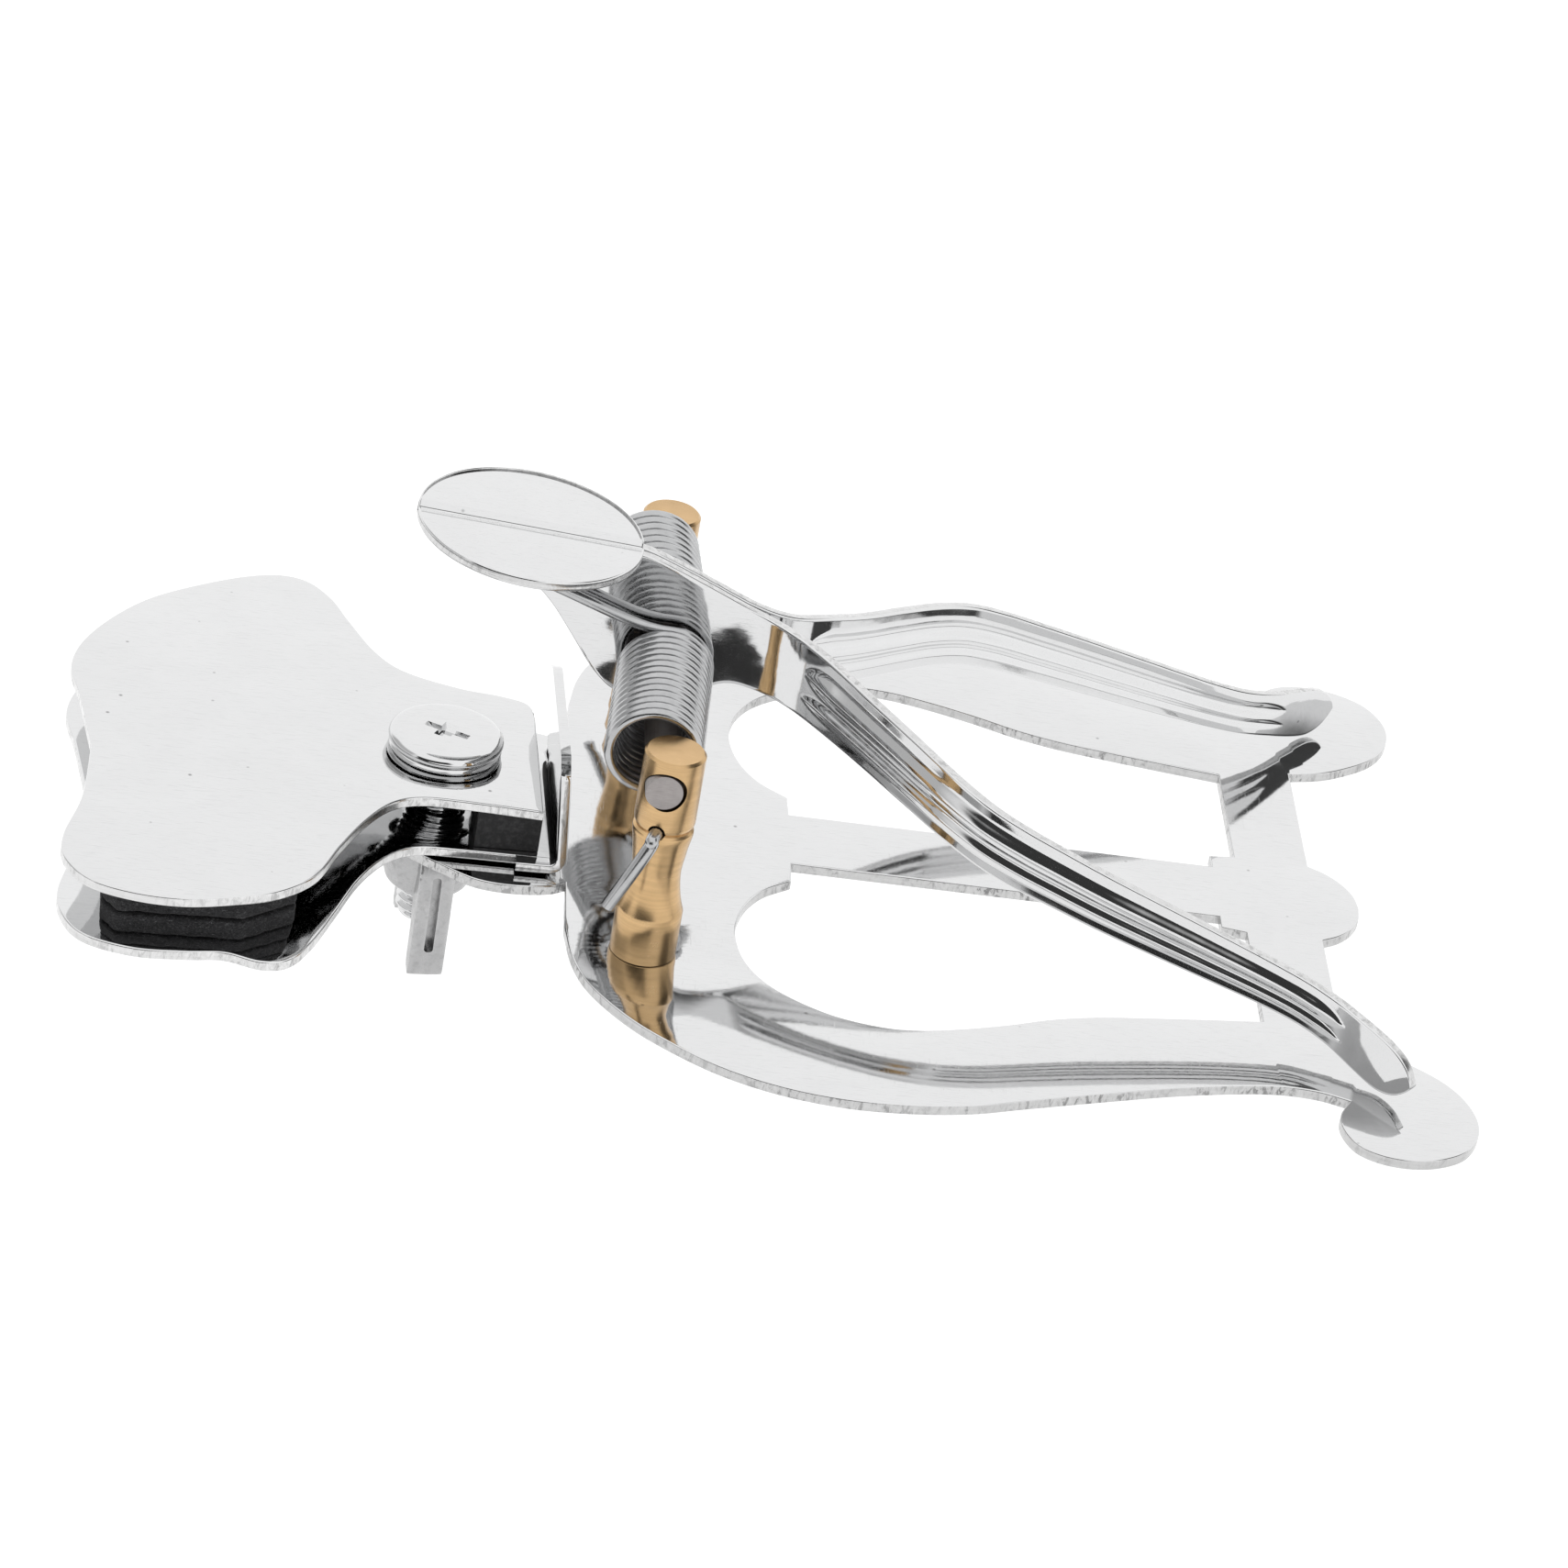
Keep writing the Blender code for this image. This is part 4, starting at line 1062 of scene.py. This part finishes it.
def rubber(name):
    """Dull black rubber with dust in its moulding marks."""
    m, nt, b = nodes_for(name)
    dust = noise_tex(nt, coords(nt), 2400.0, 4.0, 0.6)
    blot = noise_tex(nt, coords(nt), 330.0, 3.0)
    tone = ramp(nt, dust, [(0.45, (0.018, 0.018, 0.019)), (0.70, (0.05, 0.05, 0.052))])
    tone = mix(nt, 1.0, tone, ramp(nt, blot, [(0.35, 0.5), (0.6, 1.0)]), "MULTIPLY")
    link(nt, tone, b.inputs["Base Color"])
    link(nt, spread(nt, blot, 0.45, 0.7), b.inputs["Roughness"])
    b.inputs["Specular IOR Level"].default_value = 0.3
    bump(nt, b, [(blot, 0.2, 0.0001), (dust, 0.25, 0.00003)])
    return m


# the block between the plates at the neck
SPACER = [(3.3, -10.3), (9.3, -10.3), (9.3, 8.8), (3.3, 8.8)]
spacer = sheet_metal("v_neck_spacer", [clamp_xy(x, y) for x, y in SPACER], LOWER_Z + CLAMP_T + 0.00001,
                     UPPER_Z - 0.00032, r=0.00012)
place(dress(spacer, rubber("m_neck_spacer_rubber"), rubber("m_neck_spacer_side")), "bell_clamp", "neck_spacer")


# ---------------------------------------------------------------- screw, washer, wing nut
def screw(name):
    top = HEAD_Z + 0.00095
    r = HEAD_R
    head = [(0.0, top), (r - 0.00125, top), (r - 0.00075, top - 0.00002), (r - 0.0005, top - 0.00006),
            (r - 0.0003, top - 0.00014), (r - 0.00013, top - 0.00028), (r - 0.00003, top - 0.00046),
            (r, top - 0.00064), (r - 0.00004, top - 0.00082), (r - 0.00018, top - 0.001),
            (r - 0.0004, HEAD_Z + 0.00002), (r - 0.0007, HEAD_Z), (SCREW_R - 0.0001, HEAD_Z),
            (SCREW_R - 0.0001, HEAD_Z - 0.0004), (0.0, HEAD_Z - 0.0004)]
    ob = turned(name, head, 96)
    ob.location = (*screw_at, 0.0)
    ob = freeze(ob, name)
    # cross recess: a long narrow slot and a short wide one, both with sloping walls
    for k, (length, wide, depth) in enumerate(((0.0044, 0.00075, 0.00042), (0.0025, 0.00140, 0.00062))):
        bm = bmesh.new()
        for z, q in ((0.0003, 1.12), (-depth, 0.62)):
            for sx, sy in ((-1, -1), (1, -1), (1, 1), (-1, 1)):
                bm.verts.new((sx * length / 2 * q, sy * wide / 2 * (0.5 + 0.5 * q), z))
        bmesh.ops.convex_hull(bm, input=list(bm.verts))
        cut = add_object("recess", mesh_from(bm, "recess"))
        cut.matrix_world = Matrix.Translation((*screw_at, top)) @ Matrix.Rotation(math.radians(-24 + 90 * k), 4, "Z")
        ob = boolean(ob, cut, "DIFFERENCE")
    resharpen(ob, 30)
    # the thread: a true helix on the shank
    z_high, z_low = HEAD_Z - 0.0002, SCREW_END
    cols, per = 48, 9
    rows = int((z_high - z_low) / SCREW_PITCH * per)
    bm = bmesh.new()
    grid = []
    for i in range(rows + 1):
        z = z_high + (z_low - z_high) * i / rows
        row = []
        for k in range(cols):
            a = 2 * math.pi * k / cols
            ph = (z / SCREW_PITCH - k / cols) % 1.0
            tri = 1 - abs(2 * ph - 1)                     # 0 at the root, 1 at the crest
            rr = SCREW_R - 0.00036 * (1 - min(1.0, tri * 1.22))
            rr -= max(0.0, (z_low + 0.0005) - z) * 0.9    # chamfered tip
            row.append(bm.verts.new((rr * math.cos(a), rr * math.sin(a), z)))
        grid.append(row)
    for a, b in zip(grid[:-1], grid[1:]):
        for k in range(cols):
            j = (k + 1) % cols
            bm.faces.new((a[k], b[k], b[j], a[j]))
    bm.faces.new(grid[0])
    bm.faces.new(grid[-1])
    bmesh.ops.recalc_face_normals(bm, faces=bm.faces)
    shank = add_object("shank", mesh_from(bm, "shank"))
    shank.location = (*screw_at, 0.0)
    resharpen(shank, 50)
    return join(ob, shank)


place(dress(screw("v_clamp_screw"), chrome("m_screw_chrome", wave=0.3)), "upper_jaw", "clamp_screw")

w0, w1 = WASHER_Z, WASHER_Z + 0.00072
wr = WASHER_R
washer = turned("v_screw_washer",
                [(SCREW_HOLE_R - 0.0001, w1), (wr - 0.0009, w1), (wr - 0.0005, w1 - 0.00003),
                 (wr - 0.00026, w1 - 0.0001), (wr - 0.0001, w1 - 0.00022), (wr, w1 - 0.0004),
                 (wr - 0.00006, w1 - 0.00058), (wr - 0.0002, w1 - 0.0007), (wr - 0.00045, w0),
                 (SCREW_HOLE_R - 0.0001, w0), (SCREW_HOLE_R - 0.0001, w1)], 96)
washer.location = (*screw_at, 0.0)
place(dress(freeze(washer, "v_screw_washer"), chrome("m_washer_chrome", wave=0.3)), "upper_jaw", "screw_washer")


def prism(name, outline, half):
    bm = bmesh.new()
    a = [bm.verts.new((x, -half, z)) for x, z in outline]
    b = [bm.verts.new((x, half, z)) for x, z in outline]
    n = len(outline)
    for i in range(n):
        j = (i + 1) % n
        bm.faces.new((a[i], a[j], b[j], b[i]))
    bm.faces.new(a)
    bm.faces.new(b)
    bmesh.ops.recalc_face_normals(bm, faces=bm.faces)
    return add_object(name, mesh_from(bm, name))


def wing_nut(name):
    top = -LYRE_T - GAP
    hub = turned(name, [(0.0, top), (0.0044, top), (0.0045, top - 0.0003), (0.0043, top - 0.0030),
                        (0.0036, top - 0.0055), (0.0033, top - 0.0058), (0.0, top - 0.0058)], 72)
    ob = hub
    for k in (0, 1):
        wing = smooth([(0.0026, top - 0.0010), (0.0046, top - 0.0010), (0.0055, top - 0.0022),
                       (0.0059, top - 0.0060), (0.0060, top - 0.0105), (0.00585, top - 0.0118),
                       (0.0052, top - 0.0122), (0.0041, top - 0.0114), (0.0038, top - 0.0080),
                       (0.0029, top - 0.0050)], 6)
        w = prism("wing", wing, 0.0015)
        w.matrix_world = Matrix.Rotation(WING_TURN + math.pi * k, 4, "Z")
        ob = boolean(ob, w, "UNION")
    m = ob.modifiers.new("cast", "REMESH")
    m.mode = "VOXEL"
    m.voxel_size = 0.00014
    s = ob.modifiers.new("soften", "SMOOTH")
    s.factor = 0.5
    s.iterations = 7
    ob = freeze(ob, name)
    for k in (0, 1):
        turn = Matrix.Rotation(WING_TURN + math.pi * k, 4, "Z")
        prof = []
        for j in range(9):
            a = math.pi * j / 8
            prof.append((0.00036 * math.cos(a), 0.0033 + 0.0003 * math.sin(a)))
        prof += [(-x, -z) for x, z in prof]
        bm = bmesh.new()
        a = [bm.verts.new((-0.0012, y, z)) for y, z in prof]
        b = [bm.verts.new((0.0012, y * 1.15, z)) for y, z in prof]
        n = len(prof)
        for i in range(n):
            j = (i + 1) % n
            bm.faces.new((a[i], a[j], b[j], b[i]))
        bm.faces.new(a)
        bm.faces.new(b)
        bmesh.ops.recalc_face_normals(bm, faces=bm.faces)
        cut = add_object("slot", mesh_from(bm, "slot"))
        cut.matrix_world = turn @ Matrix.Translation((0.0061, 0, top - 0.0060))
        ob = boolean(ob, cut, "DIFFERENCE")
    ob = boolean(ob, rod("nut_bore", (0, 0, top + 0.001), (0, 0, top - 0.008), SCREW_R + 0.00006, 48), "DIFFERENCE")
    ob.location = (*screw_at, 0.0)
    return resharpen(freeze(ob, name), 38)


place(dress(wing_nut("v_wing_nut"), nickel("m_wing_nut_nickel")), "nut", "wing_nut")

# ---------------------------------------------------------------- table, light and camera
LEAN = math.atan2(0.0125, 0.086)      # the clip rests on its wing nut and its two ears
up = Vector((-math.sin(LEAN), 0.0, math.cos(LEAN)))


def table_top():
    me = bpy.data.meshes.new("table")
    s = 3.0
    me.from_pydata([(-s, -s, 0), (s, -s, 0), (s, s, 0), (-s, s, 0)], [], [(0, 1, 2, 3)])
    ob = add_object("stage_table", me)
    low_a = Vector((-0.0494, -0.004, -0.01352))
    low_b = Vector((0.036, 0.0, -0.00100))
    slope = (low_b.z - low_a.z) / (low_b.x - low_a.x)
    ob.rotation_euler = (0, -math.atan(slope), 0)
    ob.location = (low_a.x, 0, low_a.z - 0.00002)
    m, nt, b = nodes_for("m_table_white")
    grain = noise_tex(nt, coords(nt), 260.0, 3.0)
    link(nt, mix(nt, grain, (0.15, 0.15, 0.15), (0.18, 0.18, 0.18)), b.inputs["Base Color"])
    b.inputs["Roughness"].default_value = 0.7
    b.inputs["Emission Color"].default_value = (1, 1, 1, 1)
    b.inputs["Emission Strength"].default_value = 0.98
    ob.data.materials.append(m)
    return ob


table_top()


def studio():
    """A white tent with a dark opening on the camera's side."""
    w = bpy.data.worlds.new("studio")
    bpy.context.scene.world = w
    w.use_nodes = True
    nt = w.node_tree
    bg = nt.nodes["Background"]
    tc = nt.nodes.new("ShaderNodeTexCoord")
    d = tc.outputs["Generated"]

    def dot(v):
        n = nt.nodes.new("ShaderNodeVectorMath")
        n.operation = "DOT_PRODUCT"
        link(nt, d, n.inputs[0])
        n.inputs[1].default_value = v
        return n.outputs["Value"]

    def m(how, a, b=None):
        return maths(nt, how, a, b)

    def step(v, a, b):
        n = nt.nodes.new("ShaderNodeMapRange")
        n.interpolation_type = "SMOOTHSTEP"
        n.inputs["From Min"].default_value = a
        n.inputs["From Max"].default_value = b
        link(nt, v, n.inputs["Value"])
        return n.outputs["Result"]

    right = Vector((math.cos(LEAN), 0.0, math.sin(LEAN)))
    rise = m("MULTIPLY", m("ARCSINE", dot(tuple(up))), 180 / math.pi)
    # bearing from straight behind the camera, towards +X
    bearing = m("MULTIPLY", m("ARCTAN2", dot(tuple(right)), dot((0.0, -1.0, 0.0))), 180 / math.pi)

    def card(b0, b1, r0, r1, soft_b, soft_r):
        a = m("MULTIPLY", step(bearing, b0 - soft_b, b0 + soft_b), step(bearing, b1 + soft_b, b1 - soft_b))
        b = m("MULTIPLY", step(rise, r0 - soft_r, r0 + soft_r), step(rise, r1 + soft_r, r1 - soft_r))
        return m("MULTIPLY", a, b)

    level = None
    for c, depth in CARDS:
        k = m("SUBTRACT", 1.0, m("MULTIPLY", card(*c), depth))
        level = k if level is None else m("MULTIPLY", level, k)
    light = m("MULTIPLY", level, TENT)
    link(nt, light, bg.inputs["Strength"])
    bg.inputs["Color"].default_value = (1.0, 1.0, 1.0, 1.0)


TENT = 1.2
# (bearing from, to, rise from, to, softness of each), darkness
CARDS = [((-52, 16, -10, 33, 6, 4), 0.96),
         ((66, 112, 16, 46, 6, 6), 0.93),
         ((-130, -58, 8, 46, 8, 8), 0.5)]
studio()

cam = bpy.data.cameras.new("camera")
cam.sensor_width = 36.0
cam.lens = 125.29
cam.clip_start = 0.01
cam.clip_end = 20.0
eye = bpy.data.objects.new("camera", cam)
bpy.context.scene.collection.objects.link(eye)
eye.matrix_world = Matrix(((0.987415, -0.121339, -0.101428, -0.06703),
                           (-0.024984, 0.513613, -0.857658, -0.39906),
                           (0.156162, 0.849399, 0.504117, 0.23989),
                           (0, 0, 0, 1)))
bpy.context.scene.camera = eye
bpy.context.scene.view_settings.view_transform = "Standard"
bpy.context.scene.view_settings.look = "None"
